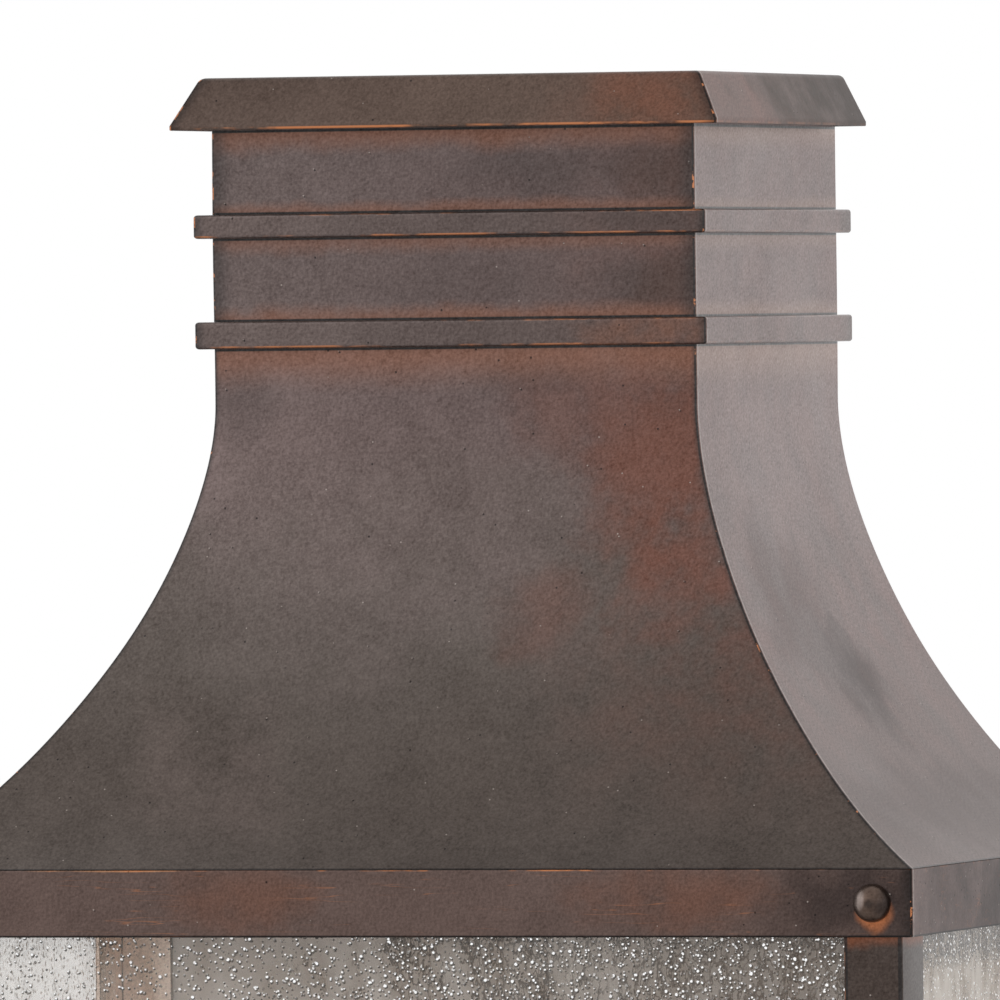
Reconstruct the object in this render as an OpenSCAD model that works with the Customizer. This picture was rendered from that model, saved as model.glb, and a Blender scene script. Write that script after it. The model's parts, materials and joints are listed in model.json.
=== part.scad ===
// Outdoor wall lantern with a flat back, a glazed cage, a bell-shaped lift-off
// roof and a square banded chimney above it. Millimetres.
// The wall is the plane y = 0 and the light stands out of it towards -y.
// The origin is the middle of the wall bracket's rear face.

/* [Roof] */
// Width of the eaves skirt
skirt_w = 304.8; // [290:1:320]
// Depth of the eaves skirt, back to front
skirt_d = 207.6; // [200:1:220]
// Height of the eaves skirt
skirt_h = 19.2; // [18:0.2:24]
// Height of the bell from the skirt up to the lower band
bell_h = 147.3; // [130:1:170]
// Straight neck above the bell's curve
bell_straight = 15.7; // [8:0.5:22]
// How far the neck's direction carries on into the curve
bell_pull_top = 42.2; // [30:1:55]
// How far the eaves' direction carries on into the curve
bell_pull_bottom = 51.7; // [40:1:60]
// Slope of the bell's side at the eaves, from upright, in degrees
bell_angle = 57.3; // [50:0.5:62]
// Roof sheet thickness
sheet_t = 1.2; // [0.9:0.1:1.6]
// Width of the skirt's inner ledge, which rests on the cage
skirt_ledge = 13; // [12:0.5:16]
// Gap between the roof's flat back and the wall
wall_gap = 0.5; // [0.3:0.1:1]
// Gap between the roof's ledge and the cage, and beside the cage
roof_clear = 0.3; // [0.2:0.05:0.5]

/* [Chimney] */
// Width of the chimney
neck_w = 144.6; // [130:1:160]
// Depth of the chimney
neck_d = 144.6; // [130:1:150]
// How far the bands stand out
band_out = 4.3; // [3:0.1:6]
// Height of the lower band
lower_band_h = 7.8; // [6:0.1:10]
// Height of the upper band
upper_band_h = 6.8; // [5:0.1:9]
// Chimney wall between the bands
band_gap = 23.9; // [18:0.5:30]
// Chimney wall between the upper band and the cap
cap_gap = 24.3; // [18:0.5:30]
// Edge rounding of the bands
band_round = 0.9; // [0.5:0.1:1.5]
// Height of the cap
cap_h = 15; // [12:0.5:20]
// How far the cap's lower edge stands out
cap_out = 9.6; // [8:0.1:14]
// How far the cap's top stands out
cap_top_out = 3.2; // [2:0.1:5]
// Upright lip at the cap's lower edge
cap_lip = 1.3; // [1:0.1:2]
// Rounding of the cap's top edge
cap_round = 2.4; // [1:0.1:3]

/* [Cage] */
// Height from the underside of the base to the eaves
cage_h = 340; // [310:1:380]
// How far the corner posts stand back from the skirt's face
post_inset = 4.4; // [4:0.1:6]
// Leg of a corner post along the front or back
post_face_leg = 17; // [15:0.5:19]
// Leg of a corner post along the side
post_side_leg = 21.6; // [19:0.5:24]
// Thickness of a corner post
post_t = 1.6; // [1.2:0.1:2]
// Rounding of a post's corner edge
post_round = 0.9; // [0.5:0.1:1.2]
// Height of the flat bar that ties the post tops
top_rail_h = 14; // [12:0.5:15]
// Height of the base channel
base_h = 19; // [17:0.5:24]
// Width of the base channel's lower flange
base_flange = 22; // [20:0.5:26]
// Height of the base pan's upturned rim
pan_rim_h = 12; // [9:0.5:15]
// Radius of a drain hole in the base pan
drain_r = 3; // [2:0.1:4]
// Side and end distance of a drain hole from the pan's rim
drain_inset = 32; // [28:1:40]

/* [Glass] */
// Pane thickness
glass_t = 3; // [2.5:0.1:3.2]
// How far a pane reaches in behind a post's leg
glass_lap = 5; // [4:0.1:5.4]
// Spring clip strip thickness
clip_t = 0.8; // [0.6:0.1:1]
// Height of a spring clip
clip_h = 10; // [8:0.5:14]
// Length of a clip's foot on its post
clip_foot = 6; // [5:0.1:6.4]
// How far a clip's finger reaches past the edge of its pane
clip_reach = 4; // [3:0.1:5]
// Height of each row of clips above and below the bracket
clip_z = 95; // [70:1:110]

/* [Back box] */
// Depth of the back box, from the wall to its face
box_d = 12.2; // [12:0.2:15]
// Sheet thickness of the back box
box_t = 1.2; // [1:0.1:1.4]
// How far the back box's sides stand in from the posts' outer faces
box_inset = 1.6; // [1:0.1:3]
// Width of the box's folded lip on the wall
box_lip = 8; // [6:0.5:12]

/* [Wall bracket] */
// Distance between the slots for the junction box's screws
box_screw_pitch = 88.9; // [80:0.1:90]
// Length of a junction box slot
slot_l = 12; // [10:0.5:13]
// Half the width of a junction box slot
slot_r = 2.4; // [2.2:0.1:2.6]
// Height of the bracket's bar
bar_h = 20; // [18:0.5:26]
// Thickness of the bracket's bar
bar_t = 2; // [1.5:0.1:2.4]
// Step forward of the bar's ends
bar_step = 4; // [3.6:0.1:5]
// Distance between the two mounting screws
mount_pitch = 122; // [118:1:130]
// Length of each stepped end
bar_end = 16; // [14:0.5:20]
// Radius of a mounting screw
mount_screw_r = 2; // [1.8:0.1:2.2]
// Radius of a mounting screw's head
mount_head_r = 3.8; // [3.4:0.1:4.4]
// Height of a mounting screw's head
mount_head_h = 2.2; // [1.8:0.1:2.4]
// Width across the flats of a cap nut
cap_nut_w = 8; // [7:0.1:9]
// Height of a cap nut's hexagon
cap_nut_h = 4; // [3.5:0.1:5]
// How far a mounting screw reaches into its cap nut's dome
cap_nut_deep = 1; // [0.5:0.1:1.5]
// How far a cap nut's dome stands inside its flats
cap_nut_shoulder = 0.3; // [0.2:0.1:0.5]
// Radius of the ground screw
ground_r = 1.7; // [1.5:0.1:2]
// Width across the flats of the ground screw's head
ground_head_w = 6; // [5:0.1:7]
// Height of the ground screw's head
ground_head_h = 1.8; // [1.4:0.1:2.4]
// Distance of the ground screw from the middle
ground_x = 22; // [18:1:28]
// Radius of the bracket's middle hole
bar_hole_r = 5; // [4:0.1:6]

/* [Roof screws] */
// Distance of a roof screw from the skirt's corner
screw_in = 11.7; // [11.4:0.1:12]
// Radius of a roof screw's domed head
dome_r = 5.4; // [4.8:0.1:6]
// Height of the domed head
dome_h = 4.4; // [3.8:0.1:5]
// Height of the collar under the dome
dome_collar = 0.6; // [0.4:0.1:1]
// Radius of a roof screw's shank
shank_r = 2.1; // [1.9:0.05:2.3]
// Width across the flats of a roof screw's nut
nut_w = 7; // [6.4:0.1:7.2]
// Thickness of a roof screw's nut
nut_t = 3; // [2.5:0.1:3.2]
// Length of screw past its nut
shank_past = 1.2; // [0.6:0.1:2]

/* [Lamp cluster] */
// Height of the arm below the bracket
arm_drop = 110; // [100:1:115]
// Outer radius of the arm tube
arm_r = 4.9; // [4.5:0.1:5.2]
// Wall of the arm tube
arm_wall = 1.6; // [1.2:0.1:1.8]
// Length of arm tube behind the back box's face
arm_tail = 7.5; // [7:0.1:9]
// Radius of the arm's collar
collar_r = 21; // [18:0.5:26]
// Thickness of the arm's collar
collar_t = 5; // [4:0.1:7]
// Width of the collar's flat ring round the arm
collar_ring = 2.5; // [2:0.1:3.5]
// Thickness of the collar's rim
collar_rim = 1.5; // [1.2:0.1:2.4]
// Width across the flats of the arm's lock nut
arm_nut_w = 15; // [14:0.1:17]
// Thickness of the arm's lock nut
arm_nut_t = 4; // [3:0.1:5]
// Widest radius of the hub
hub_r = 17; // [15:0.5:20]
// Height of the hub
hub_h = 26; // [22:0.5:30]
// Hub's outline from below, as shares of its radius and its height
hub_shape = [[0.5, 0], [0.62, 0.1], [0.85, 0.14], [1, 0.24], [1, 0.76], [0.85, 0.86], [0.55, 0.92], [0.3, 1]];
// How deep the arms plug into the hub
hub_plug = 4; // [3:0.1:5]
// Length of the finial under the hub
finial_h = 22; // [16:0.5:28]
// Finial's outline from above, as shares of the hub's radius and the finial's height
finial_shape = [[0.42, 0], [0.42, 0.1], [0.2, 0.2], [0.2, 0.3], [0.46, 0.46], [0.46, 0.58], [0.28, 0.74],
  [0.1, 0.84], [0.1, 1]];
// Number of candles
candles = 3; // [3:1:3]
// Radius of the ring of candles
candle_ring_r = 44; // [42:0.5:48]
// Outer radius of a candle arm
candle_arm_r = 3.5; // [3:0.1:4]
// Bend radius of a candle arm
candle_bend_r = 18; // [15:0.5:20]
// Upright length of a candle arm above its bend
candle_rise = 12; // [9:0.5:15]
// Radius of a drip cup
cup_r = 19; // [17:0.5:21]
// Height of a drip cup
cup_h = 8; // [6:0.5:11]
// Sheet thickness of a drip cup
cup_t = 1.2; // [1:0.1:1.5]
// Outer radius of a candle sleeve
sleeve_r = 11; // [10.6:0.1:11.6]
// Wall of a candle sleeve
sleeve_wall = 0.9; // [0.7:0.1:1.1]
// Height of a candle sleeve
sleeve_h = 101.6; // [80:1:110]

/* [Sockets and bulbs] */
// Radial clearance of a socket in its sleeve
socket_clear = 0.2; // [0.1:0.05:0.3]
// Height of a socket's body
socket_h = 44; // [36:1:50]
// Thickness of a socket's strap and foot
strap_t = 2; // [1.5:0.1:2.5]
// Width of a socket's strap
strap_w = 11.9; // [10:0.1:13]
// How far a socket's strap stands inside its body's side
strap_in = 2; // [1.5:0.1:2.5]
// How far a socket's rim lies below the sleeve's
socket_sunk = 1.5; // [0.5:0.1:3]
// Depth of a socket's well
well_d = 24; // [22:0.5:28]
// Radius of the screw shell's bore
shell_r = 6.15; // [6.1:0.01:6.2]
// Wall of the screw shell
shell_wall = 0.5; // [0.4:0.05:0.6]
// Height of the screw shell
shell_h = 18; // [15:0.5:20]
// Radius of a bulb's screw cap
bulb_cap_r = 5.95; // [5.9:0.01:6]
// Length of the screw cap inside its socket
bulb_cap_in = 15; // [12:0.5:17]
// Height of the cap's collar above its socket
bulb_cap_out = 3.5; // [2.5:0.1:5]
// How far the cap's collar and the glass's neck stand out of the cap
bulb_neck_out = 0.6; // [0.4:0.1:0.8]
// Height of the insulator below the cap
bulb_tip_h = 2.5; // [2:0.1:3]
// Radius of the insulator at the cap
bulb_tip_r = 4.8; // [4.4:0.1:5.2]
// Radius of the contact under the insulator
bulb_contact_r = 2.2; // [1.8:0.1:2.6]
// Height of a bulb's glass
bulb_h = 76; // [68:1:84]
// Wall of a bulb's glass
bulb_wall = 0.8; // [0.6:0.1:1]
// How far out and up the glass is drawn as it leaves its cap
bulb_belly = [27, 16];
// How far out the glass is drawn as it closes, and at what share of its height
bulb_shoulder = [14.5, 0.88];
// Length of a glowing strand
strand_l = 30; // [24:1:34]
// Radius of a glowing strand
strand_r = 0.9; // [0.7:0.1:1.1]
// Radius of the ring of strands
strand_ring_r = 5; // [4:0.1:6]
// Height of the strands' lower ends above the cap
strand_z = 19.8; // [18:0.2:22]

/* [Base screws] */
// Radius of a base screw
base_screw_r = 1.6; // [1.4:0.1:1.8]
// Radius of a base screw's head
base_head_r = 3.2; // [2.8:0.1:3.6]
// Height of a base screw's head
base_head_h = 2; // [1.6:0.1:2.4]
// Length of a base screw under its head
base_screw_l = 7; // [6:0.5:9]

/* [Fits] */
// Radial clearance where a tube or screw sits in its own hole
seat_clear = 0.05; // [0.03:0.01:0.08]
// Radial clearance of a through hole round a screw
hole_clear = 0.3; // [0.2:0.05:0.5]
// Gap between the pan's rim and the panes
pan_clear = 0.3; // [0.2:0.05:0.5]
// Straight steps in each bell curve
bell_steps = 26; // [20:1:32]
// Straight steps in a quarter round of sheet or bar
round_steps = 4; // [3:1:6]
// Straight steps in a screw's dome
dome_steps = 8; // [5:1:12]
// Straight steps in a bulb's outline
bulb_steps = 18; // [14:1:24]

/* [Hidden] */
$fn = 64;

copper = "#4a3a33";
copper_light = "#7a5a48";
panel_grey = "#8d8683";
brass = "#a98445";
steel = "#9a9b9c";

// heights
base_z = -cage_h / 2;
eave_z = cage_h / 2;
skirt_top = eave_z + skirt_h;
bell_top = skirt_top + bell_h;
seam_z = bell_top + lower_band_h / 2;
upper_band_z = bell_top + lower_band_h + band_gap;
cap_z = upper_band_z + upper_band_h + cap_gap;
cap_top = cap_z + cap_h;
screw_z = eave_z + skirt_h / 2;
ledge_z = skirt_top - sheet_t;
rail_top = ledge_z - roof_clear;
post_top = rail_top - roof_clear;
base_in_z = base_z + box_t;

// plan, sides in x and depths in y
roof_back = -wall_gap;
skirt_front = roof_back - skirt_d;
post_x = skirt_w / 2 - post_inset;
post_front = skirt_front + post_inset;
box_face = -box_d;
box_x = post_x - box_inset;
rail_t = post_inset - sheet_t - roof_clear;
pane_x = post_x - post_t;
pane_front = post_front + post_t;
pane_x_in = pane_x - glass_t;
pane_front_in = pane_front + glass_t;
pane_half_w = post_x - post_face_leg + glass_lap;
pane_side_front = post_front + post_side_leg - glass_lap;
pane_side_back = box_face - post_side_leg + glass_lap;
screw_x = skirt_w / 2 - screw_in;
slot_half_w = shank_r + hole_clear;

// lamp cluster
lamp_y = (box_face + pane_front_in) / 2;
arm_z = -arm_drop;
cup_z = arm_z + candle_bend_r + candle_rise;
sleeve_z = cup_z + cup_t;
socket_top = sleeve_z + sleeve_h - socket_sunk;
socket_r = sleeve_r - sleeve_wall - socket_clear;
bulb_z = socket_top + bulb_cap_out;

// A box between two corners
module slab(a, b) {
  translate(a) cube(b - a);
}

// A rounded rod or hole along y, from y0 to y1
module rod_y(r, x, z, y0, y1) {
  translate([x, y1, z]) rotate([90, 0, 0]) cylinder(r = r, h = y1 - y0);
}

// A hexagon along y, from y0 to y1, measured across its flats
module hex_y(flats, x, z, y0, y1) {
  translate([x, y1, z]) rotate([90, 0, 0])
    cylinder(r = flats / 2 / cos(30), h = y1 - y0, $fn = 6);
}

module both_sides() {
  children();
  mirror([1, 0, 0]) children();
}

// A solid that has one outline from the front and another from the side
module two_way(front_outline, side_outline) {
  intersection() {
    rotate([90, 0, 0]) linear_extrude(2 * skirt_d) polygon(front_outline);
    translate([-skirt_w, 0, 0]) rotate([90, 0, 90]) linear_extrude(2 * skirt_w)
      polygon(side_outline);
  }
}

// Quarter round about c, from angle a over a right angle
function quarter(c, r, a) =
  [for (i = [0:round_steps]) c + r * [cos(a + 90 * i / round_steps), sin(a + 90 * i / round_steps)]];

// Cubic curve through four control points, and its direction
function curve(p, u) =
  (1 - u)^3 * p[0] + 3 * (1 - u)^2 * u * p[1] + 3 * (1 - u) * u^2 * p[2] + u^3 * p[3];
function slope(p, u) =
  (1 - u)^2 * (p[1] - p[0]) + 2 * (1 - u) * u * (p[2] - p[1]) + u^2 * (p[3] - p[2]);

// The bell's flare, as distance out of the neck's wall against height.
// The front flares less than the sides, by the ratio of their reaches.
side_reach = (skirt_w - neck_w) / 2;
front_reach = skirt_d - neck_d;
function bell_control(reach) = [
  [0, bell_top - bell_straight],
  [0, bell_top - bell_straight - bell_pull_top],
  [reach - reach / side_reach * bell_pull_bottom * sin(bell_angle),
   skirt_top + bell_pull_bottom * cos(bell_angle)],
  [reach, skirt_top]];
function bell_edge(reach, inset) = [
  for (i = [0:bell_steps])
    let (c = bell_control(reach), p = curve(c, i / bell_steps), d = slope(c, i / bell_steps))
      p + inset * [d.y, -d.x] / norm(d)];

// The bell's solid, drawn in by inset and carried up to height top
module bell(inset, top) {
  side = concat([[-inset, top]], bell_edge(side_reach, inset));
  front = concat([[-inset, top]], bell_edge(front_reach, inset));
  last = len(side) - 1;
  low = front[last].y;
  two_way(
    concat([for (p = side) [neck_w / 2 + p.x, p.y]],
           [for (i = [last:-1:0]) [-neck_w / 2 - side[i].x, side[i].y]]),
    concat([for (p = front) [roof_back - neck_d - p.x, p.y]],
           [[roof_back - inset, low], [roof_back - inset, top]]));
}

module roof_shell() {
  color(copper) difference() {
    bell(0, seam_z);
    bell(sheet_t, seam_z + 1);
  }
}

module roof_skirt() {
  color(copper) difference() {
    slab([-skirt_w / 2, skirt_front, eave_z], [skirt_w / 2, roof_back, skirt_top]);
    slab([-skirt_w / 2 + sheet_t, skirt_front + sheet_t, eave_z - 1],
         [skirt_w / 2 - sheet_t, roof_back - sheet_t, ledge_z]);
    slab([-skirt_w / 2 + skirt_ledge, skirt_front + skirt_ledge, eave_z - 1],
         [skirt_w / 2 - skirt_ledge, roof_back - skirt_ledge, skirt_top + 1]);
    both_sides() rod_y(slot_half_w, screw_x, screw_z, skirt_front - 1, skirt_front + 2 * sheet_t);
  }
}

module neck_block(inset, z0, z1) {
  slab([-neck_w / 2 + inset, roof_back - neck_d + inset, z0],
       [neck_w / 2 - inset, roof_back - inset, z1]);
}

module chimney_tube() {
  color(copper) difference() {
    neck_block(0, seam_z, cap_top - sheet_t);
    neck_block(sheet_t, seam_z - 1, cap_top);
  }
}

// A band's outline, rounded on its outer edges: out is its reach and h its height
function band_outline(out, z, h) = concat(
  quarter([out - band_round, z + band_round], band_round, -90),
  quarter([out - band_round, z + h - band_round], band_round, 0));

// A strip round the front and sides of the chimney
module neck_strip(outline) {
  last = len(outline) - 1;
  two_way(
    concat([for (p = outline) [neck_w / 2 + p.x, p.y]],
           [for (i = [last:-1:0]) [-neck_w / 2 - outline[i].x, outline[i].y]]),
    concat([for (p = outline) [roof_back - neck_d - p.x, p.y]],
           [[roof_back, outline[last].y], [roof_back, outline[0].y]]));
}

module band(z, h) {
  color(copper) difference() {
    neck_strip(band_outline(band_out, z, h));
    neck_block(0, z - 1, z + h + 1);
  }
}

// The cap's outline: an upright lip, a slope and a rounded top edge
cap_lean = atan((cap_out - cap_top_out) / (cap_h - cap_lip));
function cap_outline(inset) = concat(
  [[cap_out - inset, cap_z + inset], [cap_out - inset, cap_z + cap_lip]],
  [for (i = [0:round_steps])
    let (a = cap_lean + (90 - cap_lean) * i / round_steps)
      [cap_top_out - cap_round * cos(cap_lean) - inset, cap_top - cap_round - inset]
      + cap_round * [cos(a), sin(a)]]);

module chimney_cap() {
  inner = cap_outline(sheet_t);
  last = len(inner) - 1;
  color(copper) difference() {
    neck_strip(cap_outline(0));
    two_way(
      concat([for (p = inner) [neck_w / 2 + p.x, p.y]],
             [for (i = [last:-1:0]) [-neck_w / 2 - inner[i].x, inner[i].y]]),
      concat([for (p = inner) [roof_back - neck_d - p.x, p.y]],
             [[roof_back - sheet_t, inner[last].y], [roof_back - sheet_t, inner[0].y]]));
    neck_block(0, cap_z - 1, cap_top - sheet_t);
  }
}

// Nuts of the roof screws, behind the front posts' legs
module roof_nuts() {
  y0 = pane_front + roof_clear;
  color(steel) both_sides() difference() {
    hex_y(nut_w, screw_x, screw_z, y0, y0 + nut_t);
    rod_y(shank_r + seat_clear, screw_x, screw_z, y0 - 1, y0 + nut_t + 1);
  }
}

// A roof screw: a dome on a collar, and its shank through the skirt, past the top bar and into its nut
module roof_screw(side) {
  ball = (dome_r^2 + dome_h^2) / (2 * dome_h);
  sweep = asin(dome_r / ball);
  shank_l = pane_front + roof_clear + nut_t + shank_past - skirt_front;
  color(copper_light) translate([side * screw_x, skirt_front, screw_z]) rotate([90, 0, 0])
    rotate_extrude() polygon(concat(
      [[0, -shank_l], [shank_r, -shank_l], [shank_r, 0], [dome_r, 0], [dome_r, dome_collar]],
      [for (i = [1:dome_steps])
        let (a = sweep * (1 - i / dome_steps))
          [ball * sin(a), dome_collar + dome_h - ball * (1 - cos(a))]]));
}

// A corner post's section, with its corner at the origin and its legs along +x and +y
module angle_section(leg_x, leg_y) {
  polygon(concat(
    quarter([post_round, post_round], post_round, 180),
    [[leg_x, 0], [leg_x, post_t], [post_t, post_t], [post_t, leg_y], [0, leg_y]]));
}

// A front post's front leg ends below the roof screw, which leaves upwards
module post(side, front) {
  color(copper) mirror([side > 0 ? 0 : 1, 0, 0]) difference() {
    translate([post_x, front ? post_front : box_face, base_in_z])
      mirror([1, 0, 0]) mirror([0, front ? 0 : 1, 0])
        linear_extrude(post_top - base_in_z) angle_section(post_face_leg, post_side_leg);
    if (front)
      slab([post_x - post_face_leg - 1, post_front - 1, screw_z - slot_half_w],
           [post_x - post_t, post_front + post_t, post_top + 1]);
  }
}

// Bars round the post tops. The front one stops at each roof screw, and a
// block closes each corner, so that the screws leave upwards between them.
module top_frame() {
  front = post_front - rail_t;
  back = box_face + box_t;
  low = rail_top - top_rail_h;
  color(copper) {
    slab([-screw_x + slot_half_w, front, low], [screw_x - slot_half_w, post_front, rail_top]);
    both_sides() slab([screw_x + slot_half_w, front, low], [post_x + rail_t, post_front, rail_top]);
    difference() {
      slab([-post_x - rail_t, post_front + roof_clear, low], [post_x + rail_t, back + rail_t, rail_top]);
      slab([-post_x, post_front, low - 1], [post_x, back, rail_top + 1]);
    }
  }
}

// Base channel: a wall, a lower flange and a narrow upper flange that meets the posts
module base_frame() {
  top = base_z + base_h;
  front = skirt_front;
  color(copper) difference() {
    slab([-skirt_w / 2, front, base_z], [skirt_w / 2, 0, top]);
    slab([-skirt_w / 2 + box_t, front + box_t, base_in_z], [skirt_w / 2 - box_t, -box_t, top - box_t]);
    slab([-post_x - roof_clear, post_front - roof_clear, base_in_z],
         [post_x + roof_clear, -box_t, top + 1]);
    slab([-skirt_w / 2 + base_flange, front + base_flange, base_z - 1],
         [skirt_w / 2 - base_flange, -base_flange, top]);
    base_screw_places() cylinder(r = base_screw_r + seat_clear, h = 4 * box_t, center = true);
  }
}

// Outer faces of the base pan, which stands inside the panes
pan_x = pane_x_in - pan_clear;
pan_front = pane_front_in + pan_clear;
pan_back = box_face - post_t - pan_clear;

// Midway between the flange's edge and the pan's rim
module base_screw_places() {
  x = (skirt_w / 2 - base_flange + pan_x) / 2;
  for (sx = [-1, 1], y = [(pan_front + skirt_front + base_flange) / 2, (pan_back - base_flange) / 2])
    translate([sx * x, y, base_z]) children();
}

module base_pan() {
  color(copper) difference() {
    slab([-pan_x, pan_front, base_in_z], [pan_x, pan_back, base_in_z + pan_rim_h]);
    slab([-pan_x + box_t, pan_front + box_t, base_in_z + box_t],
         [pan_x - box_t, pan_back - box_t, base_in_z + pan_rim_h + 1]);
    for (sx = [-1, 1], y = [pan_front + drain_inset, pan_back - drain_inset])
      translate([sx * (pan_x - drain_inset), y, base_in_z]) cylinder(r = drain_r, h = 4 * box_t, center = true);
    base_screw_places() cylinder(r = base_screw_r + seat_clear, h = 6 * box_t, center = true);
  }
}

module base_screws() {
  color(steel) base_screw_places() {
    translate([0, 0, -base_head_h]) cylinder(r = base_head_r, h = base_head_h);
    translate([0, 0, -base_head_h / 2]) cylinder(r = base_screw_r, h = base_screw_l);
  }
}

module glass_front() {
  color("#c9cfcf", 0.4)
    slab([-pane_half_w, pane_front, base_in_z], [pane_half_w, pane_front_in, post_top]);
}

module glass_side(side) {
  color("#c9cfcf", 0.4) mirror([side > 0 ? 0 : 1, 0, 0])
    slab([pane_x_in, pane_side_front, base_in_z], [pane_x, pane_side_back, post_top]);
}

// A bent spring clip: a foot on the post and a finger along the pane's inner face.
// The corner is at the origin, the foot runs along x and the finger along y.
module clip(foot, finger) {
  linear_extrude(clip_h, center = true)
    polygon([[0, 0], [foot, 0], [foot, clip_t], [clip_t, clip_t], [clip_t, finger], [0, finger]]);
}

module glass_clips() {
  color(brass) both_sides() for (z = [-clip_z, clip_z]) {
    // front pane: foot on the side leg, finger along the front pane
    translate([pane_x, pane_front_in, z + clip_h]) rotate([0, 0, 90])
      clip(clip_foot, pane_x - pane_half_w + clip_reach);
    // side pane, front edge: foot on the front leg
    translate([pane_x_in, pane_front, z - clip_h]) mirror([1, 0, 0])
      clip(clip_foot, pane_side_front - pane_front + clip_reach);
    // side pane, back edge: foot on the back leg
    translate([pane_x_in, box_face - post_t, z - clip_h]) mirror([1, 0, 0]) mirror([0, 1, 0])
      clip(clip_foot, box_face - post_t - pane_side_back + clip_reach);
  }
}

// Back box: a dished plate whose folded lip lies on the wall
module back_box() {
  z0 = base_z + base_h + roof_clear;
  z1 = eave_z - roof_clear;
  color(panel_grey) difference() {
    union() {
      slab([-box_x, box_face, z0], [box_x, 0, z1]);
      slab([-box_x, box_face, z0], [box_x, box_face + box_t, post_top]);
    }
    slab([-box_x + box_t, box_face + box_t, z0 + box_t], [box_x - box_t, -box_t, z1 - box_t]);
    slab([-box_x + box_lip, -2 * box_t, z0 + box_lip], [box_x - box_lip, 1, z1 - box_lip]);
    rod_y(arm_r + hole_clear, 0, arm_z, box_face - 1, box_face + 2 * box_t);
    both_sides() rod_y(mount_screw_r + hole_clear, mount_pitch / 2, 0, box_face - 1, box_face + 2 * box_t);
  }
}

// Wall bracket: a flat bar whose two ends step forward to clear the screw heads
module wall_bracket() {
  x1 = mount_pitch / 2 - bar_end / 2;
  x2 = mount_pitch / 2 + bar_end / 2;
  half = [[x1, 0], [x1, -bar_step], [x2, -bar_step], [x2, -bar_step - bar_t],
    [x1 - bar_t, -bar_step - bar_t], [x1 - bar_t, -bar_t]];
  color(steel) difference() {
    translate([0, 0, -bar_h / 2]) linear_extrude(bar_h)
      polygon(concat(half, [for (i = [5:-1:0]) [-half[i].x, half[i].y]]));
    both_sides() {
      for (x = [-1, 1] * (slot_l / 2 - slot_r)) rod_y(slot_r, box_screw_pitch / 2 + x, 0, -bar_t - 1, 1);
      slab([box_screw_pitch / 2 - slot_l / 2 + slot_r, -bar_t - 1, -slot_r],
           [box_screw_pitch / 2 + slot_l / 2 - slot_r, 1, slot_r]);
      rod_y(mount_screw_r + seat_clear, mount_pitch / 2, 0, -bar_step - bar_t - 1, 0);
    }
    rod_y(bar_hole_r, 0, 0, -bar_t - 1, 1);
    rod_y(ground_r + seat_clear, ground_x, 0, -bar_t - 1, 1);
  }
}

// Mounting screws, with their heads behind the bracket's stepped ends
nut_top = box_face - cap_nut_h;
module mounting_screws() {
  color(steel) both_sides() {
    rod_y(mount_head_r, mount_pitch / 2, 0, -bar_step, mount_head_h - bar_step);
    rod_y(mount_screw_r, mount_pitch / 2, 0, nut_top - cap_nut_deep, -bar_step + mount_head_h / 2);
  }
}

module mounting_nuts() {
  color(copper_light) both_sides() difference() {
    union() {
      hex_y(cap_nut_w, mount_pitch / 2, 0, nut_top, box_face);
      intersection() {
        translate([mount_pitch / 2, nut_top, 0]) sphere(r = cap_nut_w / 2 - cap_nut_shoulder);
        rod_y(cap_nut_w, mount_pitch / 2, 0, nut_top - cap_nut_w, nut_top);
      }
    }
    rod_y(mount_screw_r + seat_clear, mount_pitch / 2, 0, nut_top - cap_nut_deep - hole_clear, box_face + 1);
  }
}

module ground_screw() {
  color("#3f7a4a") {
    rod_y(ground_r, ground_x, 0, -bar_t - ground_head_h / 2, 0);
    hex_y(ground_head_w, ground_x, 0, -bar_t - ground_head_h, -bar_t);
  }
}

// Arm from the back box to the hub, which carries the wires
module arm_tube() {
  y0 = lamp_y + hub_r - hub_plug;
  y1 = box_face + arm_tail;
  color(brass) difference() {
    rod_y(arm_r, 0, arm_z, y0, y1);
    rod_y(arm_r - arm_wall, 0, arm_z, y0 - 1, y1 + 1);
  }
}

// Turned collar where the arm leaves the back box, with a stepped rim and a hollow curve
module arm_collar() {
  bore = arm_r + seat_clear;
  neck = bore + collar_ring;
  span = collar_r - neck;
  color(copper_light) translate([0, box_face, arm_z]) rotate([90, 0, 0]) rotate_extrude() polygon(concat(
    [[bore, 0], [collar_r, 0], [collar_r, collar_rim]],
    [for (i = [1:2 * round_steps])
      let (a = 90 * i / (2 * round_steps))
        [collar_r - 1 - (span - 1) * sin(a), collar_t - (collar_t - collar_rim) * cos(a)]],
    [[bore, collar_t]]));
}

module arm_nut() {
  y0 = box_face + box_t;
  color(steel) difference() {
    hex_y(arm_nut_w, 0, arm_z, y0, y0 + arm_nut_t);
    rod_y(arm_r + seat_clear, 0, arm_z, y0 - 1, y0 + arm_nut_t + 1);
  }
}

// Turned hub: a drum with stepped and domed ends
module cluster_hub() {
  color(copper_light) translate([0, lamp_y, arm_z]) difference() {
    translate([0, 0, -hub_h / 2]) rotate_extrude()
      polygon(concat([[0, 0]], [for (p = hub_shape) [p.x * hub_r, p.y * hub_h]], [[0, hub_h]]));
    rod_y(arm_r + seat_clear, 0, 0, hub_r - hub_plug - seat_clear, hub_r + 1);
    candle_places() translate([hub_r - hub_plug - seat_clear, 0, 0]) rotate([0, 90, 0])
      cylinder(r = candle_arm_r + seat_clear, h = hub_plug + 1);
  }
}

module hub_finial() {
  color(copper_light) translate([0, lamp_y, arm_z - hub_h / 2]) rotate_extrude()
    polygon(concat([[0, 0]], [for (p = finial_shape) [p.x * hub_r, -p.y * finial_h]], [[0, -finial_h]]));
}

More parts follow.
